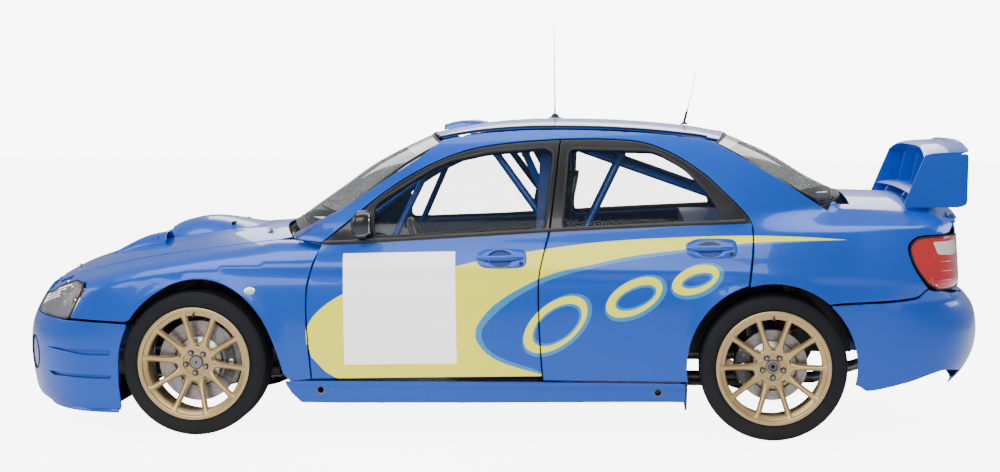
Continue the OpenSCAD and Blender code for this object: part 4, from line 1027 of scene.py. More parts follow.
# slot 1, the yellow, and slot 3, the white, glow: painted light
SIDE_MATERIALS = ["paint_blue", "paint_yellow", "paint_light_blue", "paint_white", "trim_satin"]
LEFT_RIGHT = (("left", 1), ("right", -1))


def above_belt(x0, x1):
    line = [p for p in bend(BELT_LOW, 40) if x1 - 60 < p[0] < x0 + 60]
    return line + [(x1 - 50, 1400), (x0 + 50, 1400)]


def door_pieces(which, word, side):
    """A door: painted skin with its livery, inner frame, trim card, seals, glass and handle."""
    body = f"{which}_door_{word}"
    if which == "front":
        outline = bend(WING_SEAM) + bend(DOOR_SEAM[::-1])[1:] + bend(FRAME_FRONT)[1:-1]
        glass, x0, x1 = FRONT_GLASS, 800, -320
        handle_x, handle_z = -55, 787
    else:
        outline = (bend(DOOR_SEAM) + arc(REAR_X, REAR_ARCH_R + 8, -11, 73) + bend(QUARTER_SEAM)[1:]
                   + bend(FRAME_REAR)[1:-1])
        glass, x0, x1 = REAR_GLASS, -190, -1180
        handle_x, handle_z = -967, 836
    cut = grown(outline, -GAP / 2)
    hole = rounded(glass, 34)
    cup = [(handle_x + 54 * math.cos(t), handle_z - 2 + 34 * math.sin(t))
           for t in np.linspace(0, 2 * math.pi, 28, endpoint=False)]
    zones = livery() + [(above_belt(x0, x1), 4)]
    panel(f"{body}_skin", side_surface, cut, SIDE_MATERIALS, body, side=side, zones=zones, holes=[hole, cup], pitch=24,
          thick=9, edge=3.0, stands_for=[body])
    inner = grown(cut, -14)
    # inner frame in the darker inner blue: painted shade
    panel(f"{body}_frame", side_surface, inner, ["paint_inner_shaded"], body, side=side, holes=[grown(hole, 3)], pitch=60,
          depth=8, thick=32, edge=1.0, back_edge=4.0)
    low = [p for p in inner if p[1] < belt_z(p[0]) - 14]
    panel(f"{body}_card", side_surface, grown(low, -8), ["carbon_black"], body, slot="black_trim", side=side, pitch=60,
          depth=39, thick=34, edge=1.0, back_edge=8.0)
    pane = grown(hole, 5)
    panel(f"{body}_window", side_surface, pane, ["glass_side"], body, slot="glass", side=side, pitch=45, depth=11,
          thick=4, edge=0.5, stands_for=[f"{which}_door_glass_{word}"])
    # rubber round the glass, and the moulding along the belt
    parts = Parts()
    ring = side_surface(*np.array(loop(rounded(glass, 34), 16)).T) - np.array([0, 5, 0])
    parts.add(tube_mesh(ring, 7, 8, closed=True), "rubber_seal")
    belt = [p for p in bend(BELT_LOW, 30) if x1 + 45 < p[0] < x0 - 45]
    if which == "front":
        belt = [p for p in belt if p[0] < 735]
    for off, r in ((11, 8.5),):
        line = np.array(belt) + np.array([0, off])
        parts.add(tube_mesh(side_surface(*line.T) + np.array([0, 0.5, 0]), r, 10), "trim_black")
    edge_line = grown(inner, -6)
    ring = side_surface(*np.array(edge_line).T) - np.array([0, 30, 0])
    parts.add(tube_mesh(ring, 7, 8, closed=True), "rubber_seal")
    parts.finish(f"{body}_seals", body, mirror_y=side < 0)
    # handle: cup behind the skin and the bar across it
    parts = Parts()
    n = 24
    verts, faces = [], []
    for k, (grow_by, dep) in enumerate(((3.0, 8.0), (0.5, 12), (-3, 20), (-10, 27), (-22, 31))):
        for t in np.linspace(0, 2 * math.pi, n, endpoint=False):
            u = handle_x + (54 + grow_by) * math.cos(t)
            v = handle_z - 2 + (34 + grow_by * 0.8) * math.sin(t)
            p = side_surface(np.array([u]), np.array([v]))[0]
            verts.append((p[0], p[1] - dep, p[2]))
        if k:
            a, b = (k - 1) * n, k * n
            faces += [[a + i, a + (i + 1) % n, b + (i + 1) % n, b + i] for i in range(n)]
    faces.append([4 * n + i for i in range(n)])
    outer = len(verts)
    verts += [(x, y - 3, z) for x, y, z in verts]
    faces += [[outer + i for i in f[::-1]] for f in faces]
    faces += [[i, outer + i, outer + (i + 1) % n, (i + 1) % n] for i in range(n)]
    parts.add((verts, faces), "paint_blue")
    plate = [(handle_x + 104, handle_z + 16), (handle_x + 96, handle_z - 26), (handle_x + 62, handle_z - 42),
             (handle_x - 88, handle_z - 40), (handle_x - 112, handle_z - 26), (handle_x - 112, handle_z + 24),
             (handle_x - 92, handle_z + 40), (handle_x + 50, handle_z + 40), (handle_x + 84, handle_z + 30)]
    plate = loop(plate, 10)
    v, f, i, _ = panel_mesh(side_surface, plate, side=1, holes=[grown(cup, 1)], pitch=24, depth=-3.2, thick=5, edge=2.5)
    parts.add((v, f), "paint_blue")
    bar = []
    for t in np.linspace(-1, 1, 15):
        p = side_surface(np.array([handle_x + 100 * t]), np.array([handle_z + 2 - 3 * t]))[0]
        bar.append((p[0], p[1] + 4 + 13 * (1 - t ** 4), p[2]))
    parts.add(tube_mesh(bar, [7 + 5 * (1 - abs(t) ** 3) for t in np.linspace(-1, 1, 15)], 12), "paint_blue")
    p = side_surface(np.array([handle_x - 92.0]), np.array([handle_z - 22.0]))[0]
    turn = Matrix.Translation((p[0], p[1] + 2, p[2])) @ Matrix.Rotation(-math.pi / 2, 4, "X")
    parts.add(lathe_mesh([(0, -3), (9, -3), (9, 3.5), (6, 4.5), (0, 4.5)], 20), "trim_black", turn)
    parts.finish(f"{body}_handle", body, mirror_y=side < 0)


def body_side(word, side):
    """Roof rail, pillars and rear quarter as one pressing, and the post between the doors, dark in the shaded inner
    blue (painted shade).
    """
    top = [(float(x), float(rail_top(x))) for x in np.linspace(217, -980, 40)]
    pillar_front = bend([(880, 863), (845, 872), (635, 1008), (457, 1133), (324, 1221)], 18) + top
    pillar_back = bend([(-980, float(rail_top(-980))), (-1010, 1283), (-1123, 1221), (-1304, 1113), (-1484, 996)], 18)
    zt = float(deck_corner(np.array([-1540.0]))[0])
    deck = [(-1505, zt + 55), (-1530, zt + 125)] + bend([(-1560, zt + 146), (-1800, zt + 150), (-2045, zt + 118)], 30)
    tail_edge = bend([(-2052, zt + 60), (-2040, 960), (-2010, 905)], 20)
    lamp = bend([(-1978, 895), (-1863, 889), (-1822, 859), (-1819, 824), (-1845, 755), (-1897, 678), (-1907, 666)], 14)
    low = bend([(-1904, 667), (-1852, 626), (-1492, 597)], 22)[1:]
    arch = arc(REAR_X, REAR_ARCH_R, 131, 73)
    seam = bend([(-1150, 776)] + QUARTER_SEAM[1:])[1:]
    hole_line = bend(FRAME_REAR)[1:] + [(p[0], p[1]) for p in bend(FRAME_FRONT)[1:-1]]
    opening = [(p[0], p[1]) for p in hole_line]
    outline = (pillar_front[:-1] + pillar_back + deck + tail_edge + lamp + low + arch + seam[:-1] + opening
               + [(738, 848)])
    panel(f"body_side_{word}", quarter_surface, grown(outline, -GAP / 2), SIDE_MATERIALS, "chassis", side=side,
          zones=livery()[:2], pitch=22, thick=10, edge=2.5, stands_for=["pillars", "quarter_panels"])
    # flanges that the doors close against, and the posts
    parts = Parts()
    for line, depth in ((opening, 26), ([(p[0] + 2, p[1]) for p in bend(DOOR_SEAM)], 66)):
        pts = side_surface(*np.array(line).T)
        parts.add(tube_mesh(pts - np.array([0, depth, 0]), 8, 8), "rubber_seal")
    # the post, rail and hinge block below are in the darker inner blue: painted shade
    post = [(-330, 1322), (-215, 1326), (-185, 245), (-300, 245)]
    v, f, _, _ = panel_mesh(side_surface, rounded(post, 8), side=1, pitch=70, depth=86, thick=34, edge=3)
    parts.add((v, f), "paint_inner_shaded")
    rail = [(x, float(rail_top(x)) - 26) for x in np.linspace(200, -1000, 24)]
    rail = [(860, 868), (640, 985), (455, 1108), (320, 1192)] + rail + [(-1120, 1190), (-1300, 1085), (-1470, 975)]
    pts = side_surface(*np.array(bend(rail, 40)).T) - np.array([0, 44, 0])
    parts.add(tube_mesh(pts, 22, 10), "paint_inner_shaded")
    hinge = [(806, 245), (806, 830), (852, 830), (852, 245)]
    v, f, _, _ = panel_mesh(side_surface, hinge, side=1, pitch=70, depth=34, thick=78, edge=3)
    parts.add((v, f), "paint_inner_shaded")
    for x, z in ((780, 400), (780, 650), (-262, 400), (-262, 650)):
        v, f, _, _ = panel_mesh(side_surface, [(x - 42, z - 28), (x + 30, z - 28), (x + 30, z + 28), (x - 42, z + 28)],
                                side=1, pitch=60, depth=76.5, thick=28, edge=2)
        parts.add((v, f), "axle_steel")
    parts.finish(f"door_posts_{word}", "chassis", mirror_y=side < 0)


def front_wing(word, side):
    lamp = [(1844, 686), (1800, 674), (1793, 642), (1864, 508)]
    zt = lambda x: float(wing_corner(np.array([float(x)]))[0])
    top = []
    for x in np.linspace(755, 1905, 30):
        strip = 730 - max(0, x - 1500) * 0.12
        inner = strip - SHOULDER * 0.4 - float(bonnet_edge(x)) - GAP / 2
        top.append((x, zt(x) + SHOULDER + inner))
    front = [(1917, 690)]
    outline = bend(WING_SEAM)[::-1] + top + front + lamp[:1] + lamp[1:] + [(1840, 508), (1601, 499)] + arc(
        FRONT_X, None, 33, 187) + [(870, 238)]
    panel(f"front_wing_{word}", wing_surface, grown(outline, -GAP / 2), SIDE_MATERIALS, "chassis", side=side,
          zones=[(livery()[0][0], 1)], pitch=22, thick=8, edge=2.5, stands_for=["front_wings"])
    parts = Parts()
    # round side lamp
    oval = [(1044 + 20 * math.cos(t), 640 + 13 * math.sin(t)) for t in np.linspace(0, 2 * math.pi, 24, endpoint=False)]
    v, f, _, _ = panel_mesh(side_surface, oval, side=1, pitch=20, depth=-5, thick=6, edge=4)
    parts.add((v, f), "lens_white")
    v, f, _, _ = panel_mesh(side_surface, grown(oval, 4), side=1, pitch=20, depth=-1.5, thick=3, edge=1)
    parts.add((v, f), "chrome")
    parts.finish(f"side_lamp_{word}", "chassis", mirror_y=side < 0)


def shell_mesh(rows, drop):
    """Closed skin: rows of points on top and the same rows moved by drop below."""
    m, n = len(rows), len(rows[0])
    verts = [p for row in rows for p in row]
    off = m * n
    verts += [tuple(np.add(p, drop)) for p in verts]
    faces = [[i * n + k, (i + 1) * n + k, (i + 1) * n + k + 1, i * n + k + 1] for i in range(m - 1)
             for k in range(n - 1)]
    faces += [[off + i for i in f[::-1]] for f in faces]
    rim = list(range(n)) + [i * n + n - 1 for i in range(1, m)] + [(m - 1) * n + k for k in range(n - 2, -1, -1)]
    rim += [i * n for i in range(m - 2, 0, -1)]
    faces += [[a, b, off + b, off + a] for a, b in zip(rim, rim[1:] + rim[:1])]
    return verts, faces


def bonnet_piece():
    edge = [(x, float(bonnet_edge(x)) - GAP / 2) for x in np.linspace(945, 1990, 34)]
    nose = [(2051 - 0.00028 * y * y, y) for y in np.linspace(430, 0, 14)]
    half = edge + nose
    cowl = [(float(cowl_front(y)), y) for y in np.linspace(-640, 640, 34)]
    outline = half + [(x, -y) for x, y in half[::-1][1:]] + cowl[1:-1]
    scoop_hole = [(1530, 205), (1545, 150), (1545, -150), (1530, -205), (1240, -215), (1240, 215)]
    panel("bonnet_skin", bonnet_surface, grown(outline, -1), ["paint_blue"], "bonnet", pitch=30, thick=6, edge=3,
          holes=[rounded(scoop_hole, 40)], stands_for=["bonnet"])
    lids = ((190, 1260, 1500), (460, 1020, 1200), (330, 1600, 1820))
    # the bonnet's frame in the darker inner blue: painted shade
    panel("bonnet_frame", bonnet_surface, grown(outline, -24), ["paint_inner_shaded"], "bonnet", pitch=60, depth=9, thick=12,
          edge=1,
          back_edge=4, holes=[rounded([(x1, y), (x1, -y), (x0, -y), (x0, y)], 40) for y, x0, x1 in lids],
          slot="inner_paint")
    parts = Parts()
    # the scoop: a swelling with its mouth at the front under an overhanging lip
    crowns = [(1060, 898), (1120, 893), (1206, 905), (1312, 922), (1407, 923), (1502, 903), (1545, 884), (1552, 876)]
    widths = [(1085, 150), (1150, 215), (1250, 252), (1400, 262), (1556, 262)]
    rows = []
    for x in np.linspace(1556, 1085, 24):
        rise = max(0.5, float(curve(crowns, x)) - float(bonnet_z(x, 0)))
        wide = float(curve(widths, x))
        sweep = 46 * max(0, (x - 1400) / 156) ** 1.3
        rows.append([(x - sweep * abs(t) ** 2.2, wide * t,
                      float(bonnet_z(x, wide * t)) + 1 + rise * max(0.0, 1 - abs(t) ** 3.2))
                     for t in np.linspace(-1, 1, 27)])
    parts.add(shell_mesh(rows, (-3, 0, -8)), "paint_blue")
    lip = [(x - 2, y, z - 4) for x, y, z in rows[0][2:-2]]
    parts.add(tube_mesh(lip, 5, 8), "paint_blue")
    # painted shade: black block inside the scoop's mouth
    parts.add(box_mesh((1236, -205, 836), (1252, 205, 905)), "painted_shade_black", flat=True)
    for k in range(7):
        parts.add(box_mesh((1300 + k * 34, -205, 848), (1303 + k * 34, 205, 866)), "wire_mesh", flat=True)
    # twin humps ahead of it, flush in front and open behind
    for s in (1, -1):
        rows = []
        for q in np.linspace(0, 1, 14):
            x, mid, wide = 1826 - 296 * q, s * (270 + 40 * q), 18 + 76 * q ** 0.7
            rise = 44 * float(ease(q * 1.25)) ** 0.8
            rows.append([(x - 8 * q * t * t, mid + wide * t,
                          float(bonnet_z(x, mid + wide * t)) + 0.8 + rise * (1 - abs(t) ** 3.6))
                         for t in np.linspace(-1, 1, 17)])
        parts.add(shell_mesh(rows, (0, 0, -5)), "paint_blue")
        parts.add(tube_mesh([(x, y, z - 2) for x, y, z in rows[-1][1:-1]], 3.2, 8), "paint_blue")
        # painted shade: black sheet in each hump's open back
        dark = [(x + 14, y, z - 4.5) for x, y, z in rows[-2][2:-2]]
        foot = [(x, y, float(bonnet_z(x, y)) - 2) for x, y, z in dark]
        parts.add(shell_mesh([dark, foot], (3, 0, 0)), "painted_shade_black")
    # bonnet pins
    for x, y in ((1015, 470), (1015, -470), (1925, 380), (1925, -380)):
        z = float(bonnet_surface(np.array([x * 1.0]), np.array([y * 1.0]))[0, 2])
        m = Matrix.Translation((x, y, z))
        parts.add(lathe_mesh([(0, 0), (17, 0), (17, 1.5), (12, 3), (6, 3), (5, 14), (0, 15)], 20), "nut_steel", m)
        parts.add(tube_mesh([(x - 22, y, z + 8), (x + 18, y, z + 8), (x + 24, y + 6, z + 7)], 1.6, 6), "chrome")
    parts.finish("bonnet_scoops", "bonnet")


def boot_lid_piece():
    half = DECK_EDGE - GAP / 2
    outline = [(LID_FRONT, half)] + [(x, half) for x in np.linspace(-1650, -2030, 14)] + [(-2055, half - 14)] + [
        (-2062 - 6 * (1 - (y / 590) ** 2), y) for y in np.linspace(560, -560, 20)] + [(-2055, 14 - half)] + [
        (x, -half) for x in np.linspace(-2030, -1650, 14)] + [(LID_FRONT, -half)]

    def top(u, v):
        return np.stack([u, v, boot_z(u, v)], -1)

    panel("boot_lid_top", top, outline, ["paint_blue"], "boot_lid", pitch=40, thick=8, edge=4,
          stands_for=["boot_lid"])
    low = [(float(tail_u_rear(y, 653)), 653) for y in np.linspace(-505, 505, 30)]
    up = [(float(tail_u_rear(y, 983)), 983) for y in np.linspace(590, -590, 30)]
    right = [(float(tail_u_rear(505, z)), z) for z in np.linspace(680, 890, 9)] + [(float(tail_u_rear(590, 902)), 902)]
    left = [(-a, b) for a, b in right[::-1]]
    plate = rounded([(float(tail_u_rear(y, z)), z) for y, z in ((-265, 700), (265, 700), (265, 815), (-265, 815))], 12)
    recess = rounded([(float(tail_u_rear(y, z)), z) for y, z in ((-300, 675), (300, 675), (285, 835), (-285, 835))], 24)
    panel("boot_lid_rear", tail_surface, low + right + up + left, ["paint_blue", "trim_satin"], "boot_lid", pitch=34,
          thick=8, edge=3, zones=[(recess, 1)])
    # the plate takes the glowing white: painted light
    panel("boot_lid_plate", tail_surface, plate, ["paint_white"], "boot_lid", pitch=60, depth=-3, thick=4, edge=1,
          slot="black_trim")
    parts = Parts()
    # frame in the darker inner blue: painted shade
    parts.add(box_mesh((-2050, -575, 960), (-1610, 575, 972)), "paint_inner_shaded", bevel=3)
    for s in (1, -1):
        parts.add(box_mesh((-2045, s * 470 - 20, 700), (-2005, s * 470 + 20, 965)), "paint_inner_shaded", bevel=4)
    parts.finish("boot_lid_frame", "boot_lid")
    # black sheets along the boot's sides, under the gaps: painted shade
    parts = Parts()
    for s in (1, -1):
        parts.add(prism_mesh([(-1990, 404), (-1600, 404), (-1600, 960), (-1960, 960)], s * 606, s * 610), "trim_black")
    parts.finish("boot_gap_shade", "chassis")


def roof_piece():
    half = [(float(screen_x(y, 1320 - 36 * (y / 590) ** 2)) - 7, y) for y in np.linspace(-556, 556, 24)]
    back = [(float(back_x(y, 1320 - 34 * (y / 590) ** 2)) + 8, y) for y in np.linspace(556, -556, 24)]
    panel("roof_skin", roof_surface, half + back, ["paint_blue"], "chassis", pitch=40, thick=9, edge=3,
          stands_for=["roof_panel"])
    parts = Parts()
    for s in (1, -1):
        line = [(x, s * 558, float(roof_z(x, 558)) + 1) for x in np.linspace(240, -960, 40)]
        parts.add(tube_mesh(line, 4.5, 8), "rubber_seal")
    parts.finish("roof_gutters", "chassis")


def front_bumper_piece():
    seam = [(1990, 507), (1876, 499), (1840, 500), (1596, 490)]
    top = [(float(nose_u_front(y, 636)), 634) for y in np.linspace(0, 440, 14)]
    inner = [(float(nose_u_front(HEADLIGHT_INNER - 4, z)), z) for z in np.linspace(620, 515, 6)]
    side_top = [(float(nose_u(x, z)), z) for x, z in bend(seam, 16)]
    arch_line = [(float(nose_u(x, z)), z) for x, z in arc(FRONT_X, None, 30, -22)]
    low = [(float(nose_u(x, z)), z) for x, z in bend([(1624, 152), (1628, 108), (1700, 98)], 12)]
    base = [(u, 97) for u in np.linspace(float(nose_u(1720, 97)), 0, 30)]
    pts = top + inner + side_top + arch_line[1:] + low + base
    outline = pts[:-1] + [(-u, z) for u, z in pts[::-1]][0:-1]
    mouth = [(float(nose_u_front(y, z)), z)
             for y, z in rounded([(-330, 190), (330, 190), (390, 400), (-390, 400)], 30, 14)]
    grille = [(float(nose_u_front(y, z)), z)
              for y, z in rounded([(-250, 515), (250, 515), (215, 605), (-215, 605)], 24, 12)]
    fogs = [[(float(nose_u_front(s * 560 + 78 * math.cos(t), 330 + 78 * math.sin(t))), 330 + 78 * math.sin(t))
             for t in np.linspace(0, 2 * math.pi, 32, endpoint=False)] for s in (1, -1)]
    slots = []
    for s in (1, -1):
        slots.append(rounded([(s * nose_u(1992, 372), 372), (s * nose_u(1668, 374), 374), (s * nose_u(1668, 352), 352),
                              (s * nose_u(1800, 352), 352)], 8))
        slots.append(rounded([(s * nose_u(1990, 258), 262), (s * nose_u(1668, 262), 262), (s * nose_u(1668, 248), 248),
                              (s * nose_u(1960, 246), 248)], 5))
    panel("front_bumper_skin", nose_surface, outline, ["paint_blue"], "chassis", pitch=24, thick=6, edge=3.5,
          holes=[mouth, grille] + fogs + slots, stands_for=["front_bumper"])
    for s, word in ((1, "left"), (-1, "right")):
        # dark backs of the slots
        for k, z in enumerate((362, 255)):
            back = rounded([(s * nose_u(2000, z), z + 18), (s * nose_u(1655, z), z + 18), (s * nose_u(1655, z), z - 18),
                            (s * nose_u(2000, z), z - 18)], 6)
            panel(f"slot_back_{word}_{k}", nose_surface, back, ["paint_blue"], "chassis", pitch=30, depth=15, thick=3,
                  edge=0.5)
    # cap between the bumper, the lamps and the bonnet's front edge
    low = [(float(nose_u(x, z)), z) for x, z in bend([(1925, 650), (1980, 622), (2040, 600), (2070, 592)], 10)]
    low += [(float(nose_u_front(HEADLIGHT_INNER, z)), z) for z in (600, 620)]
    low = nose_surface(*np.array(low + [(float(nose_u_front(y, 634)), 634) for y in np.linspace(440, 0, 12)]).T)
    high = [(x, float(bonnet_edge(x)) + 1) for x in np.linspace(1925, 1990, 8)]
    high += [(2052 - 0.00028 * y * y, y) for y in np.linspace(450, 0, len(low) - 8)]
    rows = []
    for t in (0, 0.35, 0.7, 1):
        row = []
        for (a, b, c), (x, y) in zip(low, high):
            top = float(bonnet_surface(np.array([float(x)]), np.array([float(y)]))[0, 2]) - 7
            row.append((a - 4 + (x - 5 - a + 4) * t, b * 0.995 + (y - b * 0.995) * t,
                        c + (top - c) * t + 7 * math.sin(math.pi * t)))
        rows.append(row + [(x, -y, z) for x, y, z in row[::-1][1:]])
    parts = Parts()
    parts.add(shell_mesh(rows, (-2, 0, -4)), "paint_blue")
    parts.finish("nose_cap", "chassis")
    # splitter lip along the bottom
    parts = Parts()
    us = np.linspace(-float(nose_u(1640, 100)), float(nose_u(1640, 100)), 90)
    line = nose_surface(us, np.full_like(us, 100.0))
    parts.add(tube_mesh(line - np.array([4, 0, -4]), 9, 8), "paint_blue")
    parts.finish("front_lip", "chassis")


def grille_piece():
    """Mesh and bars behind the openings, and covers on the round lamp holes."""
    parts = Parts()
    for z in np.arange(205, 400, 15):
        half = 335 + (z - 190) * 0.28
        ys = np.linspace(-half, half, 25)
        u = nose_u_front(ys, z)
        parts.add(tube_mesh(nose_surface(u, np.full_like(u, z)) - np.array([22, 0, 0]), 2.2, 5), "wire_mesh")
    for y in np.arange(-375, 376, 25):
        zs = np.linspace(195 + max(0, abs(y) - 330) * 3.4, 398, 9)
        u = nose_u_front(np.full_like(zs, float(y)), zs)
        parts.add(tube_mesh(nose_surface(u, zs) - np.array([25, 0, 0]), 2.2, 5), "wire_mesh")
    for z in np.arange(524, 604, 14):
        ys = np.linspace(-245, 245, 19)
        u = nose_u_front(ys, z)
        parts.add(tube_mesh(nose_surface(u, np.full_like(u, z)) - np.array([18, 0, 0]), 3, 6), "trim_black")
    for s in (1, -1):
        ring = [(float(nose_u_front(s * 560 + 76 * math.cos(t), 330 + 76 * math.sin(t))), 330 + 76 * math.sin(t))
                for t in np.linspace(0, 2 * math.pi, 32, endpoint=False)]
        parts.add(panel_mesh(nose_surface, ring, pitch=14, depth=4, thick=5, edge=3)[:2], "paint_blue")
        parts.add(tube_mesh(nose_surface(*np.array(ring).T), 3, 6, closed=True), "rubber_seal")
    # painted shade: black board behind the grille and openings
    parts.add(box_mesh((2010, -460, 116), (2014, 460, 480)), "painted_shade_black", flat=True)
    us = np.linspace(-float(nose_u(1700, 112)), float(nose_u(1700, 112)), 60)
    floor = [(x - 14, y * 0.985) for x, y, z in nose_surface(us, np.full_like(us, 112.0))]
    parts.add(prism_mesh(floor, 108, 112, "z"), "trim_black")
    parts.finish("front_grille_mesh", "chassis", ["front_grille"])


def rear_bumper_piece():
    pts = [(0, 637)]
    top = [(float(tail_u_rear(y, 637)), 637) for y in np.linspace(40, 700, 20)]
    seam = [(float(tail_u(x, z)), z) for x, z in bend([(-1990, 650), (-1930, 653), (-1904, 660), (-1852, 619),
                                                       (-1492, 590)], 20)[1:]]
    arch_line = [(float(tail_u(x, z)), z) for x, z in arc(REAR_X, REAR_ARCH_R, 131, 192)][1:]
    low = [(float(tail_u(x, z)), z) for x, z in bend([(-1622, 234), (-1649, 217), (-1814, 252), (-1990, 300),
                                                      (-2085, 282)], 16)]
    base = [(u, 222) for u in np.linspace(float(tail_u_rear(560, 222)), 60, 20)]
    half = pts + top + seam + arch_line + low + base + [(0, 222)]
    outline = half + [(-u, z) for u, z in half[::-1]][1:-1]
    hole_u = [(float(tail_u_rear(y, z)), z)
              for y, z in rounded([(-392, 226), (-268, 226), (-268, 292), (-392, 292)], 26, 8)]
    zones = [(rounded([(float(tail_u_rear(y, z)), z) for y, z in ((-430, 226), (430, 226), (400, 318), (-400, 318))],
                      20), 1)]
    panel("rear_bumper_skin", tail_surface, outline, ["paint_blue", "trim_black"], "chassis", pitch=26, thick=7,
          edge=3.5,
          zones=zones, holes=[hole_u], stands_for=["rear_bumper"])
    parts = Parts()
    for s in (1, -1):
        parts.add(box_mesh((-1985, s * 560, 628), (-1960, s * 560 + 6, 640)), "paint_blue", flat=True)
    parts.add(box_mesh((-2085, -560, 628), (-1975, 560, 637)), "paint_blue", bevel=2)
    parts.finish("boot_sill", "chassis")


def skirt_piece(word, side):
    outline = [(-865, 161), (-865, 244)] + [(x, 244) for x in np.linspace(-800, 860, 30)] + [(892, 242), (885, 225), (866, 192), (821, 147), (650, 145)] + [
        (x, 145 + 5 * (650 - x) / 650) for x in np.linspace(560, 0, 10)] + [(x, 150 + 12 * (-x) / 865) for x in np.linspace(-80, -800, 12)]
    holes = [[(x + 15 * math.cos(t), 204 + 15 * math.sin(t)) for t in np.linspace(0, 2 * math.pi, 20, endpoint=False)]
             for x in (735, -745)]

    def surface(u, v):
        y = side_y(u, v) + 4 * np.exp(-((v - 228) / 10) ** 2) + 2
        return np.stack([u, y, v], -1)

    panel(f"skirt_{word}", surface, outline, materials=["paint_blue"], body="chassis", flip=True, side=side, pitch=22,
          thick=7, edge=3, holes=holes,
          stands_for=["side_skirts"])


def screens():
    for name, surface, node, front in (("windscreen_glass", screen_surface, "windscreen", True),
                                       ("rear_screen_glass", back_surface, "rear_window", False)):
        full = rounded([(-998, 2), (998, 2), (998, 998), (-998, 998)], 30, 20)
        dense = []
        for i, a in enumerate(full):
            b = full[(i + 1) % len(full)]
            k = max(1, int(math.hypot(b[0] - a[0], b[1] - a[1]) / 40))
            dense += [(a[0] + (b[0] - a[0]) * j / k, a[1] + (b[1] - a[1]) * j / k) for j in range(k)]
        sight = rounded([(-950, 70), (950, 70), (945, 940 if front else 900), (-945, 940 if front else 900)], 60, 20)
        band = [(-1100, 860), (1100, 860), (1100, 1100), (-1100, 1100)]
        v, f, i, n = panel_mesh(surface, dense, pitch=60, thick=5, edge=1, zones=[(band, 1)] if front else [])
        add_piece(name, v, f, ["glass_screen", "trim_satin"] if front else ["glass_screen"], "chassis", i,
                  [node], n)
        v, f, i, n = panel_mesh(surface, dense, pitch=60, depth=-0.8, thick=0.7, edge=0.3, holes=[sight])
        add_piece(name.replace("glass", "band"), v, f, ["trim_satin"], "chassis", i, (), n)
        parts = Parts()
        ring = surface(*np.array(dense).T)
        parts.add(tube_mesh(ring, 6.5, 8, closed=True), "rubber_seal")
        parts.finish(name.replace("glass", "seal"), "chassis")


# ---- wheels and brakes ----
def gn_polar(mesh, count, material, turn0=0.0):
    """Geometry Nodes: the given mesh repeated round the local Z axis, returned as points and faces in millimetres."""
    tree = bpy.data.node_groups.new("ring of copies", "GeometryNodeTree")
    face = tree.interface
    face.new_socket(name="Shape", in_out="INPUT", socket_type="NodeSocketGeometry")
    n_in = face.new_socket(name="Copies", in_out="INPUT", socket_type="NodeSocketInt")
    a_in = face.new_socket(name="First angle", in_out="INPUT", socket_type="NodeSocketFloat")
    face.new_socket(name="Ring", in_out="OUTPUT", socket_type="NodeSocketGeometry")
    nodes, links = tree.nodes, tree.links
    gin, gout = nodes.new("NodeGroupInput"), nodes.new("NodeGroupOutput")
    points = nodes.new("GeometryNodeMeshLine")
    points.inputs["Offset"].default_value = (0, 0, 0)
    links.new(gin.outputs["Copies"], points.inputs["Count"])
    index = nodes.new("GeometryNodeInputIndex")

    def calc(op, a, b):
        m = nodes.new("ShaderNodeMath")
        m.operation = op
        for i, v in enumerate((a, b)):
            if isinstance(v, float):
                m.inputs[i].default_value = v
            else:
                links.new(v, m.inputs[i])
        return m.outputs[0]

    share = calc("DIVIDE", index.outputs[0], gin.outputs["Copies"])
    angle = calc("ADD", calc("MULTIPLY", share, 2 * math.pi), gin.outputs["First angle"])
    turn = nodes.new("ShaderNodeCombineXYZ")
    links.new(angle, turn.inputs[2])
    put = nodes.new("GeometryNodeInstanceOnPoints")
    links.new(points.outputs[0], put.inputs["Points"])
    links.new(gin.outputs["Shape"], put.inputs["Instance"])
    links.new(turn.outputs[0], put.inputs["Rotation"])
    real = nodes.new("GeometryNodeRealizeInstances")
    links.new(put.outputs[0], real.inputs[0])
    paint = nodes.new("GeometryNodeSetMaterial")
    paint.inputs["Material"].default_value = MATERIALS[material]
    links.new(real.outputs[0], paint.inputs["Geometry"])
    links.new(paint.outputs[0], gout.inputs[0])
    me = bpy.data.meshes.new("copy")
    me.from_pydata([tuple(v) for v in mesh[0]], [], [tuple(f) for f in mesh[1]])
    obj = bpy.data.objects.new("copy", me)
    bpy.context.scene.collection.objects.link(obj)
    mod = obj.modifiers.new("ring", "NODES")
    mod.node_group = tree
    mod[n_in.identifier] = count
    mod[a_in.identifier] = math.radians(turn0)
    made = bpy.data.meshes.new_from_object(obj.evaluated_get(bpy.context.evaluated_depsgraph_get()))
    verts = [tuple(v.co) for v in made.vertices]
    faces = [list(p.vertices) for p in made.polygons]
    obj.modifiers.clear()
    bpy.data.objects.remove(obj)
    return verts, faces


def sweep_rings(rings):
    """Closed skin through rings of points, capped at both ends."""
    n = len(rings[0])
    verts = [p for r in rings for p in r]
    faces = [[i * n + k, i * n + (k + 1) % n, (i + 1) * n + (k + 1) % n, (i + 1) * n + k]
             for i in range(len(rings) - 1) for k in range(n)]
    return verts, faces + [list(range(n))[::-1], [(len(rings) - 1) * n + k for k in range(n)]]


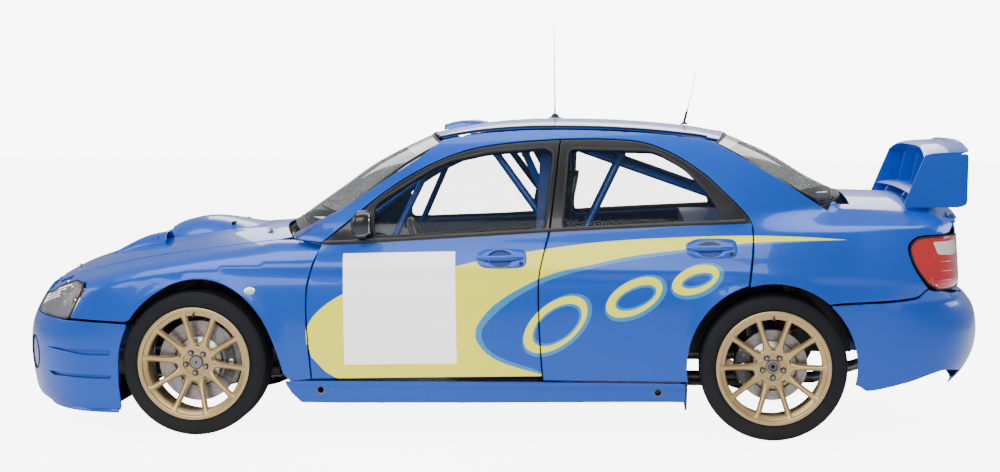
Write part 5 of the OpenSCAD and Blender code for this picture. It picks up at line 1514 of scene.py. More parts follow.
def spoke_mesh():
    rings = []
    for r, w, z, deep in ((58, 25, 64, 24), (74, 21, 66, 24), (88, 12.5, 69, 25), (110, 8.5, 75, 25),
                          (150, 6.6, 86, 24),
                          (190, 6.6, 97, 22), (210, 8, 103, 20), (222, 12, 107, 18), (230, 19, 109, 14)):
        b = w + 5.5
        rings.append([(r, -w, z), (r, -w * 0.55, z + 2.2), (r, w * 0.55, z + 2.2), (r, w, z), (r, w + 1.2, z - 5),
                      (r, b, z - 9), (r, b, z - deep), (r, -b, z - deep), (r, -b, z - 9), (r, -w - 1.2, z - 5)])
    return sweep_rings(rings)


def groove_mesh(r0, r1, z):
    rings = []
    for t in np.linspace(0, 1, 7):
        r = r0 + (r1 - r0) * t
        a = math.radians(-16 + 34 * t ** 1.4)
        c, s = math.cos(a), math.sin(a)
        rings.append([(r * c - w * s, r * s + w * c, z + h)
                      for w, h in ((-1.3, -0.6), (1.3, -0.6), (1.3, 0.25), (-1.3, 0.25))])
    return sweep_rings(rings)


def nut_mesh(r, low, high, sides=6):
    v, f = lathe_mesh([(0, low), (r, low), (r, high - 1.5), (r - 1.5, high), (0, high)], sides)
    return v, f


def moved(mesh, x, y=0, z=0):
    return [(a + x, b + y, c + z) for a, b, c in mesh[0]], mesh[1]


def wheel_pieces(end, word, side):
    x = FRONT_X if end == "front" else REAR_X
    body = f"wheel_{end}_{word}"
    place = Matrix.Translation((x, side * WHEEL_Y, AXLE_Z)) @ Matrix.Rotation(-math.pi / 2 * side, 4, "X")
    turn = (-5.5 if end == "front" else 0) + (18 if side < 0 else 0)
    w = 112.5
    tyre = [(230.3, w - 14), (236, w - 8), (249, w - 3), (262, w + 0.4), (280, w), (296, w - 3.5), (309, w - 9),
            (316, w - 17),
            (319, w - 27), (320, w - 40), (320, 62), (314, 60), (314, 53), (320, 51), (320, 24), (313, 22), (313, 14),
            (320, 12)]
    ring = tyre + [(r, -z) for r, z in tyre[::-1]]
    p = Parts()
    p.add(lathe_mesh(ring[::-1], 96), "tyre_rubber", place)
    rib = [(258, w - 1.0), (258.0, w + 1.2), (260.5, w + 1.6), (262, w + 0.2)]
    p.add(lathe_mesh(rib[::-1], 96), "tyre_rubber", place)
    sipe = prism_mesh([(317.6, w - 30), (320.15, w - 40), (320.15, 66), (317.6, 66)], -1.5, 1.5)
    for s in (1, -1):
        q = ([(a, b + (c - 66) * 0.35, c * s) for a, b, c in sipe[0]], sipe[1])
        p.add(gn_polar(q, 60, "trim_black", 3 * (s > 0)), "trim_black", place)
    p.finish(f"tyre_{end}_{word}_treaded", body, [f"tyre_{end}_{word}"], sharp=50)
    p = Parts()
    rim = [(248, 112.3), (248, 118.5), (244, 120.2), (236, 120.2), (231, 117.5), (229, 112), (228, 104), (218, 100),
           (212, 96),
           (209, 88), (209, 72), (214, 60), (221, 40), (222, -60), (224, -98), (231, -117), (236, -119), (244, -119),
           (248, -117),
           (248, -112.3), (238, -110), (230, -100), (229.9, 100), (238, 110)]
    p.add(lathe_mesh(rim, 96), "wheel_gold", place)
    p.add(gn_polar(spoke_mesh(), 10, "wheel_gold", turn + 0.001), "wheel_gold", place)
    hub = [(32, 41), (84, 41), (86, 46), (85, 62), (80, 67), (72, 68.5), (67, 67), (64, 62), (62.5, 56), (32, 56)]
    p.add(lathe_mesh(hub, 60), "wheel_gold", place)
    # black marks for the hub's slots: painted shade
    slot = sweep_rings([[(rr * math.cos(a), rr * math.sin(a), zz)
                         for rr, zz in ((74, 68), (79, 67), (79, 69), (74, 69.6))]
                        for a in np.linspace(-0.12, 0.12, 5)])
    p.add(gn_polar(slot, 5, "trim_black", turn + 54), "trim_black", place)
    seat_ring = moved(lathe_mesh([(0, 55), (13.5, 55), (13.5, 57.2), (0, 57.2)], 20), 47)
    p.add(gn_polar(seat_ring, 5, "trim_black", turn + 18), "trim_black", place)
    p.add(gn_polar(moved(nut_mesh(9.5, 56, 72), 47), 5, "nut_steel", turn + 18), "nut_steel", place)
    p.add(gn_polar(moved(lathe_mesh([(0, 71), (4.5, 71), (4.5, 78), (3, 79), (0, 79)], 12), 47), 5, "nut_steel",
                   turn + 18), "nut_steel", place)
    if end == "front":
        cap = [(0, 50), (28, 50), (28, 62), (25, 65), (16, 65), (15, 62), (5, 62), (4, 58), (0, 58)]
        p.add(lathe_mesh(cap, 36), "hub_grey", place)
        # painted shade: black dot for the cap's hollow centre
        p.add(lathe_mesh([(0, 57), (4, 57), (4, 59), (0, 59)], 16), "painted_shade_black", place)
    else:
        p.add(lathe_mesh([(19, 44), (31, 44), (31, 63), (28, 66), (22, 66), (19, 62)], 36), "hub_grey", place)
        # painted shade: black disc for the hub's hollow bore
        p.add(lathe_mesh([(0, 42), (19.5, 42), (19.5, 50), (9, 50), (8, 54), (0, 54)], 24), "painted_shade_black", place)
    a = math.radians(-90 if side > 0 else 90)
    valve = [(218 * math.cos(a), 218 * math.sin(a), 98), (214 * math.cos(a), 214 * math.sin(a), 112),
             (209 * math.cos(a), 209 * math.sin(a), 122)]
    p.add(tube_mesh(valve, [5, 5, 4], 10), "trim_black", place)
    p.finish(f"rim_{end}_{word}_spoked", body, [f"rim_{end}_{word}"], sharp=35)
    r = 178 if end == "front" else 154
    p = Parts()
    disc = [(112, -30), (r, -30), (r, -20), (r - 6, -19), (r - 6, -11), (r, -10), (r, 0), (112, 0)]
    p.add(lathe_mesh(disc, 72), "disc_iron", place)
    vane = prism_mesh([(r - 10, -19.5), (r - 1, -19.5), (r - 1, -10.5), (r - 10, -10.5)], -1.5, 1.5)
    p.add(gn_polar(vane, 36, "disc_iron"), "disc_iron", place)
    # painted shade: black strips for the disc's grooves
    p.add(gn_polar(groove_mesh(118, r - 5, 0.0), 12, "painted_shade_black", 7), "painted_shade_black", place)
    bell = [(74, 4), (104, -2), (112, -8), (118, -8), (118, -22), (100, -22), (100, -14), (31, -12), (31, 39), (74, 39)]
    p.add(lathe_mesh(bell, 60), "bell_alloy", place)
    p.add(gn_polar(moved(nut_mesh(6.5, -2, 3.5), 118), 10, "nut_steel", 12), "nut_steel", place)
    window = prism_mesh([(80, 2.2), (98, -1.2), (98, 0.6), (80, 4.2)], -9, 9)
    # painted shade: black blocks for the bell's windows
    p.add(gn_polar(window, 10, "painted_shade_black", 30), "painted_shade_black", place)
    p.add(lathe_mesh([(0, -149), (29.9, -149), (29.9, 51), (0, 51)], 32), "axle_steel", place)
    p.finish(f"brake_{end}_{word}_disc", body, [f"brake_{end}_{word}"], sharp=35)
    # caliper over the disc's edge, behind the hub on the front wheels and ahead of it on the rear
    p = Parts()
    a0, a1 = (150, 210) if end == "front" else (-30, 30)
    face = [(r - 58, 5.5), (r - 58, 22), (r - 50, 27), (r - 6, 27), (r + 10, 20), (r + 15, 8), (r + 15, -40),
            (r + 9, -50),
            (r - 58, -54), (r - 58, -36), (r + 6, -36), (r + 6, 5.5)]
    p.add(lathe_mesh(face, 14, a0, a1), "caliper_dark", place)
    for k, a in enumerate(np.linspace(a0 + 12, a1 - 12, 3)):
        c, s = math.cos(math.radians(a)), math.sin(math.radians(a))
        p.add(moved(lathe_mesh([(0, 24), (13, 24), (13, 29), (9, 31), (0, 31)], 18), (r - 28) * c, (r - 28) * s),
              "bell_alloy" if k == 1 else "caliper_dark", place)
    for a in (a0 + 3.5, a1 - 3.5):
        c, s = math.cos(math.radians(a)), math.sin(math.radians(a))
        p.add(moved(nut_mesh(5.5, 22, 30), (r + 2) * c, (r + 2) * s), "nut_steel", place)
    if end == "front":
        p.finish(f"front_caliper_{word}", f"knuckle_{word}", sharp=35)
    else:
        p.finish(f"rear_caliper_{word}", "chassis", ["rear_calipers"] if side > 0 else (), sharp=35)


def springs_piece():
    p = Parts()
    k = math.radians(10.5)
    for side in (1, -1):
        for base, tip, r, z0, z1 in (((FRONT_X, 672, 180),
                                      (FRONT_X, 672 - math.sin(k) * 600, 180 + math.cos(k) * 600), 52, 0.49, 0.86),
                                     ((REAR_X - 75, 597.6, 252), (REAR_X - 75, 538, 720), 46, 0.42, 0.92)):
            b, t = np.array(base, float), np.array(tip, float)
            d = (t - b) / np.linalg.norm(t - b)
            u = np.cross(d, [1, 0, 0])
            u /= np.linalg.norm(u)
            v = np.cross(d, u)
            pts = []
            for q in np.linspace(0, 1, 110):
                g = q * 6.5 * 2 * math.pi
                pts.append(b + (t - b) * (z0 + (z1 - z0) * q) + r * (u * math.cos(g) + v * math.sin(g)))
            pts = [(c[0], c[1] * side, c[2]) for c in pts]
            p.add(tube_mesh(pts, 5.5, 8), "spring_red")
            for q in (z0 - 0.01, z1 + 0.005):
                m = Matrix.Translation((b + (t - b) * q) * np.array([1, side, 1])) @ Vector(d * np.array([1, side, 1])).to_track_quat("Z", "Y").to_matrix().to_4x4()
                p.add(lathe_mesh([(20, -3), (r + 8, -3), (r + 8, 2), (20, 4)], 28), "damper_silver", m)
    p.finish("springs", "chassis")


# ---- lamps, mirrors, wing, vent and aerials ----
def lamp_pieces(word, side):
    inner_u = float(nose_u_front(HEADLIGHT_INNER + 4, 560))
    front = [(max(u, inner_u), z) for u, z in rounded([(float(nose_u(x, z)), z) for x, z in
                                                        ((1876, 505), (1806, 640), (1810, 664), (1844, 675),
                                                         (1913, 653),
                                                         (2010, 606), (2080, 586), (2090, 520), (1990, 509))], 26, 8)]
    front = [q for i, q in enumerate(front) if math.hypot(q[0] - front[i - 1][0], q[1] - front[i - 1][1]) > 1.5]
    v, f, i, _ = panel_mesh(nose_surface, front, pitch=24, depth=2.0, thick=3, edge=3)
    m = np.array([1, side, 1])
    if side < 0:
        f = [q[::-1] for q in f]
    add_piece(f"headlight_{word}_lens", v * m, f, ["glass_lamp"], "chassis", None, ["headlights"])
    p = Parts()
    v, f, _, _ = panel_mesh(nose_surface, grown(front, -2), pitch=24, depth=52, thick=3, edge=1)
    p.add((v, f), "lamp_silver")
    ring = nose_surface(*np.array(front).T)
    p.add(tube_mesh(ring - np.array([5, 3, 0]), 4, 6, closed=True), "rubber_seal")
    for (x, y, z), r in (((1905, 700, 585), 52), ((1975, 575, 572), 40)):
        d = Vector((0.75, 0.62 if y > 600 else 0.35, 0.12)).normalized()
        base = Matrix.Translation(Vector((x, y, z)) - d * 12) @ d.to_track_quat("Z", "Y").to_matrix().to_4x4()
        bowl = [(0, -34), (12, -33), (r * 0.55, -26), (r * 0.85, -10), (r, 6), (r + 3, 6), (r + 3, -4),
                (r * 0.9, -16), (r * 0.6, -31), (0, -39)]
        p.add(lathe_mesh(bowl, 36), "chrome", base)
        p.add(lathe_mesh([(0, -30), (14, -30), (16, -14), (11, -4), (0, 0)], 24), "lens_white", base)
    p.add(tube_mesh([(1850, 742, 600), (1846, 744, 640), (1862, 722, 655)], 12, 10), "lens_amber")
    p.finish(f"headlight_{word}_inside", "chassis", mirror_y=side < 0)
    pts = [(float(tail_u(x, z)), z) for x, z in bend([(-1905, 686), (-1852, 757), (-1827, 824), (-1832, 856),
                                                      (-1866, 882), (-1978, 888)], 12)]
    top = [(float(tail_u_rear(y, 886)), 886) for y in np.linspace(640, 524, 6)]
    side_in = [(float(tail_u_rear(524, z)), z) for z in np.linspace(860, 690, 8)]
    bottom = [(float(tail_u_rear(y, 664)), 664)
              for y in np.linspace(545, 660, 6)] + [(float(tail_u(x, z)), z) for x, z in ((-2010, 660), (-1950, 660))]
    line = pts + top + side_in + bottom
    line = [q for i, q in enumerate(line) if math.hypot(q[0] - line[i - 1][0], q[1] - line[i - 1][1]) > 2]
    u_at = lambda x, z: (float(tail_u(x, z)), z)
    white = rounded([u_at(-1925, 866), u_at(-1948, 812), u_at(-2010, 806), (float(tail_u_rear(545, 812)), 812),
                     (float(tail_u_rear(545, 868)), 868)], 16, 8)
    v, f, i, n = panel_mesh(tail_surface, line, pitch=22, depth=1.0, thick=12, edge=5, zones=[(white, 1)])
    if side < 0:
        f = [q[::-1] for q in f]
        n = None
    add_piece(f"tail_light_{word}", v * m, f, ["lens_red", "lens_white"], "chassis", i, ["tail_lights"])
    p = Parts()
    ring = tail_surface(*np.array(line).T)
    p.add(tube_mesh(ring, 3.4, 6, closed=True), "rubber_seal")
    for z in (700, 740, 780):
        us = np.linspace(float(tail_u(-1900, z)) - 10, float(tail_u_rear(540, z)) + 6, 16)
        p.add(tube_mesh(tail_surface(us, np.full_like(us, float(z))), 1.1, 5), "lens_red")
    p.finish(f"tail_light_{word}_seal", "chassis", mirror_y=side < 0)


def mirror_piece(word, side):
    p = Parts()
    rings = []
    for t in np.linspace(-1, 1, 17):
        s = math.sqrt(max(0.0, 1 - abs(t) ** 2.6)) * 0.98 + 0.02
        x = 546 + 52 * t
        rings.append([(x, 846 + 8 * t + 54 * s * math.copysign(abs(math.cos(g)) ** 0.72, math.cos(g)),
                       938 + 58 * s * math.copysign(abs(math.sin(g)) ** 0.8, math.sin(g)) - 6 * t)
                       for g in np.linspace(0, 2 * math.pi, 28, endpoint=False)])
    cut = [r for r in rings if r[0][0] > 508]
    p.add(sweep_rings(cut), "trim_satin")
    x = cut[0][0][0]
    glass = [(x - 1.2, 846 + 44 * math.copysign(abs(math.cos(g)) ** 0.72, math.cos(g)),
              938 + 46 * math.copysign(abs(math.sin(g)) ** 0.8, math.sin(g)))
             for g in np.linspace(0, 2 * math.pi, 28, endpoint=False)]
    p.add(sweep_rings([glass, [(a + 1.5, b, c) for a, b, c in glass]]), "chrome")
    p.add(sweep_rings([[(x0, y, z) for x0, z in ((538, 868), (575, 872), (578, 900), (540, 904))]
                       for y in (744, 775, 806)]), "trim_satin", bevel=3)
    p.finish(f"door_mirror_{word}_shell", f"front_door_{word}", [f"door_mirror_{word}"],
             mirror_y=side < 0)


def wing_piece():
    p = Parts()
    half = 640

    def foil(y, x0, x1, z0, rise, t, crown):
        out = []
        for q in list(np.linspace(0, 1, 12)) + list(np.linspace(1, 0, 12)[1:-1]):
            up = len(out) < 12
            s = q ** 1.4
            h = t * math.sqrt(s) * (1 - s) * (2.2 if up else -1.3)
            out.append((x0 + (x1 - x0) * s, y, z0 + rise * s * s + h + crown))
        return out

    for x0, x1, z0, rise, t, bow, power in ((-1925, -2096, 1226, 22, 17, 44, 4), (-1850, -2052, 1062, 22, 19, 14, 2)):
        rings = [foil(y, x0 + 20 * abs(y / half) ** 3 * (z0 > 1200), x1, z0, rise, t,
                      bow * (1 - abs(y / half) ** power)) for y in np.linspace(-half + 6, half - 6, 33)]
        p.add(sweep_rings(rings), "paint_blue")
        lip = [(x1 - 1, y, z0 + rise + 4 + bow * (1 - abs(y / half) ** power))
               for y in np.linspace(-half + 8, half - 8, 33)]
        p.add(tube_mesh(lip, 4, 8), "paint_blue")
    plate = rounded([(-1816, 1006), (-1911, 1234), (-2100, 1242), (-2096, 1018), (-2060, 1006)], 16, 5)
    for s in (1, -1):
        p.add(prism_mesh(plate, s * 628, s * 640), "paint_blue", bevel=2.5)
        p.add(prism_mesh(rounded([(-2080, 1030), (-2074, 1225), (-2088, 1226), (-2090, 1030)], 4), s * 640, s * 643),
              "paint_blue")
        foot = rounded([(-1852, 1040), (-1880, 1076), (-2002, 1080), (-2030, 1034), (-2010, 1024)], 10)
        p.add(prism_mesh(foot, s * 292, s * 328), "paint_blue", bevel=3)
        p.add(prism_mesh(rounded([(-1900, 1070), (-1935, 1236), (-2062, 1240), (-2040, 1078)], 12), s * 210, s * 216),
              "paint_blue")
        for x in (-1890, -1985):
            p.add(moved(nut_mesh(7, 0, 6), x, s * 345, float(boot_z(x, 345))), "nut_steel")
    p.finish("rear_wing_planes", "boot_lid", ["rear_wing"])


def vent_piece():
    p = Parts()
    rings = []
    for x, h, w in ((60, 3, 112), (90, 14, 112), (130, 22, 111), (180, 28, 110), (225, 29, 108), (250, 26, 106)):
        top = [(x, y, float(roof_z(x, y)) + h * (1 - abs(y / w) ** 6) + 1) for y in np.linspace(-w, w, 15)]
        low = [(x, y, float(roof_z(x, y)) + max(0.2, h - 6) * (1 - abs(y / w) ** 6) * 0.9)
               for y in np.linspace(w - 3, 3 - w, 13)]
        rings.append(top + low)
    p.add(sweep_rings(rings), "paint_blue")
    # painted shade: black block inside the vent's mouth
    p.add(box_mesh((150, -98, 1352), (156, 98, 1372)), "painted_shade_black", flat=True)
    p.add(tube_mesh([(252, y, float(roof_z(252, y)) + 27 * (1 - abs(y / 107) ** 6))
                     for y in np.linspace(-104, 104, 21)], 3.2, 8), "trim_black")
    for y in (-60, 0, 60):
        p.add(box_mesh((165, y - 1.5, 1352), (246, y + 1.5, 1364)), "trim_black", flat=True)
    p.finish("roof_vent_scoop", "chassis", ["roof_vent"])
    p = Parts()
    p.add(lathe_mesh([(0, 0), (36, 0), (35, 3), (20, 7), (12, 20), (0, 22)], 24), "trim_black",
          Matrix.Translation((-262, 0, 1391)) @ Matrix.Diagonal((1, 0.6, 1, 1)))
    p.add(tube_mesh([(-262, 0, 1408), (-262, 0, 1450), (-260, 0, 1600), (-256, 0, 1851)], [4.5, 3, 2, 1.3], 8),
          "trim_black")
    p.add(lathe_mesh([(0, 0), (20, 0), (19, 3), (9, 12), (0, 14)], 20), "trim_black",
          Matrix.Translation((-872, 0, 1361)))
    p.add(tube_mesh([(-872, 0, 1370), (-882, 0, 1412), (-890, 0, 1440), (-930, 0, 1617)], [6, 6, 2, 1.3], 8),
          "trim_black")
    p.finish("aerials", "chassis", ["antennas"])


def cowl_piece():
    p = Parts()
    p.add(tube_mesh([(915, -560, 905), (925, -200, 935), (918, 60, 938)], 5, 8), "trim_black")
    for y0, y1 in ((-560, -60), (60, 560)):
        pts = [(float(screen_x(y, 930 + 60 * (y - y0) / (y1 - y0))) + 6, y,
                930 + 40 * (y - y0) / (y1 - y0) - 0.00014 * y * y) for y in np.linspace(y0, y1, 14)]
        p.add(tube_mesh(pts, [3 + 2 * math.sin(math.pi * k / 13) for k in range(14)], 8), "rubber_seal")
    for k in range(26):
        y = -520 + 41.6 * k
        z = float(bonnet_z(960, y)) - 15
        p.add(box_mesh((925, y, z), (962, y + 6, z + 5)), "trim_black", flat=True)
    p.finish("wipers", "chassis")


# ---- cockpit ----
def seat_piece(word, side):
    """Shell with side wings, padded cushions and a full harness."""
    p = Parts()
    y0 = 340

    def row(c, wide, wing, tilt, n=13):
        out = []
        for t in np.linspace(-1, 1, n):
            out.append((c[0] + wing * abs(t) ** 3 * math.cos(tilt), y0 + wide * t,
                        c[1] + wing * abs(t) ** 3 * math.sin(tilt)))
        return out

    spine = [(190, 372, 205, 60, 1.5), (100, 352, 215, 75, 1.5), (-40, 340, 218, 80, 1.5), (-150, 352, 214, 90, 1.2),
             (-205, 420, 205, 120, 0.5), (-235, 560, 212, 120, 0.15), (-262, 720, 222, 120, 0.1),
             (-290, 860, 215, 110, 0.1),
             (-312, 930, 170, 100, 0.1), (-330, 990, 165, 150, 0.1), (-348, 1080, 150, 150, 0.1),
             (-356, 1130, 110, 90, 0.1)]
    inner = [row((x, z), w, k, a) for x, z, w, k, a in spine]
    outer = [[(x - (14 if a < 1 else 0), y0 + (y - y0) * 1.05, z - (14 if a >= 1 else 0)) for x, y, z in r]
             for r, (_, _, _, _, a) in zip(inner, spine)]
    n = 13
    verts = [q for r in inner for q in r] + [q for r in outer for q in r]
    off = len(inner) * n
    faces = [[i * n + k, i * n + k + 1, (i + 1) * n + k + 1, (i + 1) * n + k] for i in range(len(inner) - 1)
             for k in range(n - 1)]
    faces += [[off + q for q in f[::-1]] for f in faces]
    m = len(inner)
    ids = list(range(n)) + [i * n + n - 1 for i in range(1, m)] + [(m - 1) * n + k for k in range(n - 2, -1, -1)] + [i * n for i in range(m - 2, 0, -1)]
    k = len(ids)
    faces += [[ids[i], ids[(i + 1) % k], off + ids[(i + 1) % k], off + ids[i]] for i in range(k)]
    p.add((verts, faces), "seat_shell")
    p.add(box_mesh((-200, y0 - 190, 182), (160, y0 - 160, 330)), "axle_steel", bevel=4)
    p.add(box_mesh((-200, y0 + 160, 182), (160, y0 + 190, 330)), "axle_steel", bevel=4)
    p.finish(f"seat_{word}_shell", "chassis", ["seats"] if side > 0 else (), mirror_y=side < 0)
    # padded cushions: squab, back and head
    for label, (cx, cz), (a, b), lean_by, thick in (("base", (20, 372), (175, 165), 0.06, 44),
                                                    ("back", (-225, 640), (205, 165), 1.42, 42),
                                                     ("head", (-318, 1035), (80, 110), 1.47, 34)):
        bm = bmesh.new()
        bmesh.ops.create_grid(bm, x_segments=14, y_segments=14, size=1)
        top = list(bm.verts)
        verts, faces = [], []
        for layer in (1, -1):
            for v in top:
                u, w = v.co.x, v.co.y
                edge = (1 - abs(u) ** 4) * (1 - abs(w) ** 4)
                seam = 1 - 0.35 * math.exp(-((abs(w) - 0.45) / 0.06) ** 2) - (0.3 * math.exp(-((abs(u) - 0.35) / 0.05) ** 2) if label != "head" else 0)
                h = layer * thick / 2 * max(0, edge) ** 0.4 * (seam if layer > 0 else 1)
                pull = 1 - 0.05 * (1 - abs(u)) * abs(w) ** 4
                uu, ww = u * a * (1 - 0.04 * (1 - w * w) * abs(u) ** 6), w * b * pull
                c, s = math.cos(lean_by), math.sin(lean_by)
                verts.append((cx - uu * -c * (1 if label == "base" else -1) - h * s * (0 if label == "base" else -1),
                              side * (y0 + ww),
                              cz + uu * s + h * (1 if label == "base" else c)))
        count = len(top)
        index = {v: i for i, v in enumerate(top)}
        for f in bm.faces:
            ids = [index[v] for v in f.verts]
            faces.append(ids)
            faces.append([count + i for i in ids[::-1]])
        bm.free()
        q = Parts()
        q.add((verts, faces), "seat_cloth")
        obj = q.finish(f"seat_{word}_{label}_pad", "chassis")
    q = Parts()
    for dy in (-62, 62):
        path = [(-300, y0 + dy, 905), (-250, y0 + dy, 900), (-196, y0 + dy, 820), (-186, y0 + dy * 0.9, 640),
                (-150, y0 + dy * 0.5, 470), (-110, y0 + dy * 0.15, 420)]
        rings = []
        for i, c in enumerate(path):
            rings.append([(c[0] - 1.5, c[1] - 24, c[2]), (c[0] - 1.5, c[1] + 24, c[2]),
                          (c[0] + 1.5, c[1] + 24, c[2] + 1), (c[0] + 1.5, c[1] - 24, c[2] + 1)])
        q.add(sweep_rings(rings), "belt_red")
        rings = [[(x, y0 + dy * k, z + e)
                  for x, z, e in ((-130, 418, 0), (-90, 416, 0), (-90, 416, 3), (-130, 418, 3))]
                  for k in (0.15, 1.2, 2.4, 3.1)]
        q.add(sweep_rings(rings), "belt_red")
    q.add(moved(lathe_mesh([(0, 0), (26, 0), (26, 8), (20, 12), (0, 13)], 24), -112, y0, 424), "nut_steel")
    q.finish(f"seat_{word}_harness", "chassis", mirror_y=side < 0)


def cockpit_piece():
    p = Parts()
    prof = rounded([(476, 705), (472, 812), (560, 846), (758, 846), (845, 806), (855, 650), (560, 650)], 22, 8)
    p.add(prism_mesh(prof, -598, 598), "cockpit_suede", bevel=6)
    p.add(prism_mesh(rounded([(462, 790), (480, 868), (560, 880), (640, 850), (620, 790)], 16), 200, 480),
          "cockpit_suede", bevel=5)
    p.add(box_mesh((456, 236, 800), (466, 444, 862)), "screen_grey", bevel=2)
    p.add(box_mesh((464, -430, 716), (472, -180, 800)), "carbon_black", bevel=2)
    for k in range(10):
        p.add(moved(lathe_mesh([(0, 0), (7, 0), (6, 9), (0, 10)], 12), 0), "hub_grey",
              Matrix.Translation((468, -400 + 45 * (k % 5), 735 + 36 * (k // 5)))
              @ Matrix.Rotation(-math.pi / 2, 4, "Y"))
    p.add(box_mesh((250, -60, 190), (520, 60, 470)), "carbon_black", bevel=10)
    p.add(tube_mesh([(330, 40, 400), (322, 60, 560), (312, 80, 700)], [12, 9, 9], 12), "bell_alloy")
    p.add(moved(lathe_mesh([(0, -20), (14, -20), (18, 0), (14, 18), (0, 22)], 16), 312, 80, 712), "cockpit_suede")
    p.add(tube_mesh([(180, 20, 330), (178, 30, 430), (176, 40, 560)], [14, 12, 14], 12), "cockpit_suede")
    a = math.radians(22)
    m = Matrix.Translation((330, 340, 770)) @ Matrix.Rotation(math.pi / 2 + a, 4, "Y")
    p.add(lathe_mesh([(0, 13), (21, 13), (21, 190), (0, 190)], 24), "cockpit_suede", m)
    p.finish("dashboard_trim", "chassis", ["dashboard"])
    p = Parts()
    t = np.linspace(0, 2 * math.pi, 64, endpoint=False)
    ring = [(165 * math.cos(g), 165 * math.sin(g) * 0.99, 0) for g in t]
    p.add(tube_mesh(ring, 14, 14, closed=True), "cockpit_suede", m)
    for g in (60, 180, 300):
        c, s = math.cos(math.radians(g)), math.sin(math.radians(g))
        rings = [[(r * c - w * s, r * s + w * c, z) for w, z in ((-h, -4), (h, -4), (h, 4), (-h, 4))]
                 for r, h in ((20, 22), (60, 14), (120, 11), (158, 15))]
        p.add(sweep_rings(rings), "bell_alloy", m)
    p.add(lathe_mesh([(0, -14), (36, -14), (38, -6), (38, 10), (0, 12)], 32), "cockpit_suede", m)
    mark = [(165 * math.cos(g), 165 * math.sin(g) * 0.99, 0) for g in np.linspace(-math.pi - 0.09, -math.pi + 0.09, 5)]
    # the yellow mark glows too: painted light
    p.add(tube_mesh(mark, 14.6, 14), "paint_yellow", m)
    p.finish("steering_wheel_rim", "steering_wheel", ["steering_wheel"])
    p = Parts()
    for side in (1, -1):
        for a3, b3, r in (((-148, 455 * side, 1232), (-236, 600 * side, 1060), 17),
                          ((-580, 480 * side, 1230), (-411, 560 * side, 880), 17),
                          ((300, 515 * side, 1150), (432, 610 * side, 866), 15),
                          ((-20, 500 * side, 1232), (-262, 560 * side, 905), 17)):
            p.add(tube_mesh([a3, b3], r, 14), "cage_blue")
            for q in (a3, b3):
                mm = Matrix.Translation(q)
                p.add(lathe_mesh([(0, -r - 4), (r + 2, -8), (r + 3, 0), (r + 2, 8), (0, r + 4)], 16), "cage_blue", mm)
    p.finish("cage_braces", "chassis")


def underbody_piece():
    p = Parts()
    m = Matrix.Translation((-2165, -330, 240)) @ Matrix.Rotation(math.pi / 2, 4, "Y")
    p.add(lathe_mesh([(37, 0), (42, 0), (44.5, 3), (44.5, 40), (41.5, 46), (41.5, 60), (36, 60)], 36),
          "exhaust_steel", m)
    # painted shade: black disc inside the pipe
    p.add(lathe_mesh([(0, 50), (37, 50), (37, 54), (0, 54)], 24), "painted_shade_black", m)
    for k in range(8):
        x = 1040 + 84 * k
        for s in (1, -1):
            p.add(moved(nut_mesh(8, 0, 5), x, s * 300, 184.5), "nut_steel")
    for s in (1, -1):
        p.add(prism_mesh([(-862, 128), (-868, 250), (-874, 250), (-870, 128)], s * 640, s * 840), "trim_black")
        p.add(tube_mesh([(880, s * 500, 130), (400, s * 560, 128), (-400, s * 560, 130), (-850, s * 520, 150)], 14,
                        10), "carbon_black")
    p.add(box_mesh((-860, -640, 146), (860, 640, 170)), "carbon_black", bevel=6)
    p.finish("undertray", "chassis")


# ---- settings, operators and panel ----
class RallyLook(bpy.types.PropertyGroup):
    blue: bpy.props.FloatVectorProperty(name="Body blue", description="Main paint colour", subtype="COLOR", size=3,
                                        min=0, max=1, default=(0.0, 0.085, 0.56))
    yellow: bpy.props.FloatVectorProperty(name="Stripe yellow", description="Swoosh colour", subtype="COLOR", size=3,
                                          min=0, max=1, default=(1.0, 0.93, 0.035))
    light_blue: bpy.props.FloatVectorProperty(name="Border blue", description="Border round the swoosh", size=3,
                                              subtype="COLOR", min=0, max=1, default=(0.0, 0.3, 0.72))
    gold: bpy.props.FloatVectorProperty(name="Wheel gold", description="Wheel paint colour", subtype="COLOR", size=3,
                                        min=0, max=1, default=(0.6, 0.42, 0.18))


class RallyCamera(bpy.types.PropertyGroup):
    place: bpy.props.FloatVectorProperty(name="Camera place", description="Where the camera stands", size=3,
                                         subtype="TRANSLATION", unit="LENGTH", default=(-0.6285, 9.697, 1.4813))
    look: bpy.props.FloatVectorProperty(name="Camera direction", description="Where the camera looks", size=3,
                                        subtype="DIRECTION", default=(0.06445, -0.99567, -0.06695))
    lens: bpy.props.FloatProperty(name="Lens", description="Focal length on a 36 mm sensor, in millimetres",
                                  default=73.5, min=10, max=300)


CAD_FINISH = {"tyre": "tyre_rubber", "rim": "wheel_gold", "brake": "disc_iron", "engine": "engine_alloy",
              "transmission": "engine_alloy", "exhaust": "exhaust_steel", "sump_guard": "guard_alloy",
              "suspension_arms": "axle_steel", "suspension_struts": "axle_steel", "rear_uprights": "axle_steel",
              "front_upright": "axle_steel", "rear_calipers": "caliper_dark", "wheel_housings": "trim_black",
              # inside surfaces of the frame in the darker inner blue: painted shade
              "floor_pan": "paint_inner_shaded", "bulkheads": "paint_inner_shaded", "sills": "paint_inner_shaded",
              "jack_tubes": "axle_steel",
              "roll_cage": "cage_blue", "seats": "seat_shell", "dashboard": "cockpit_suede",
              "steering_wheel": "cockpit_suede", "cowl_panel": "trim_black", "headlights": "glass_lamp",
              "tail_lights": "lens_red", "antennas": "trim_black", "roof_vent": "trim_black",
              "door_mirror": "trim_satin",
              "rear_wing": "paint_blue"}


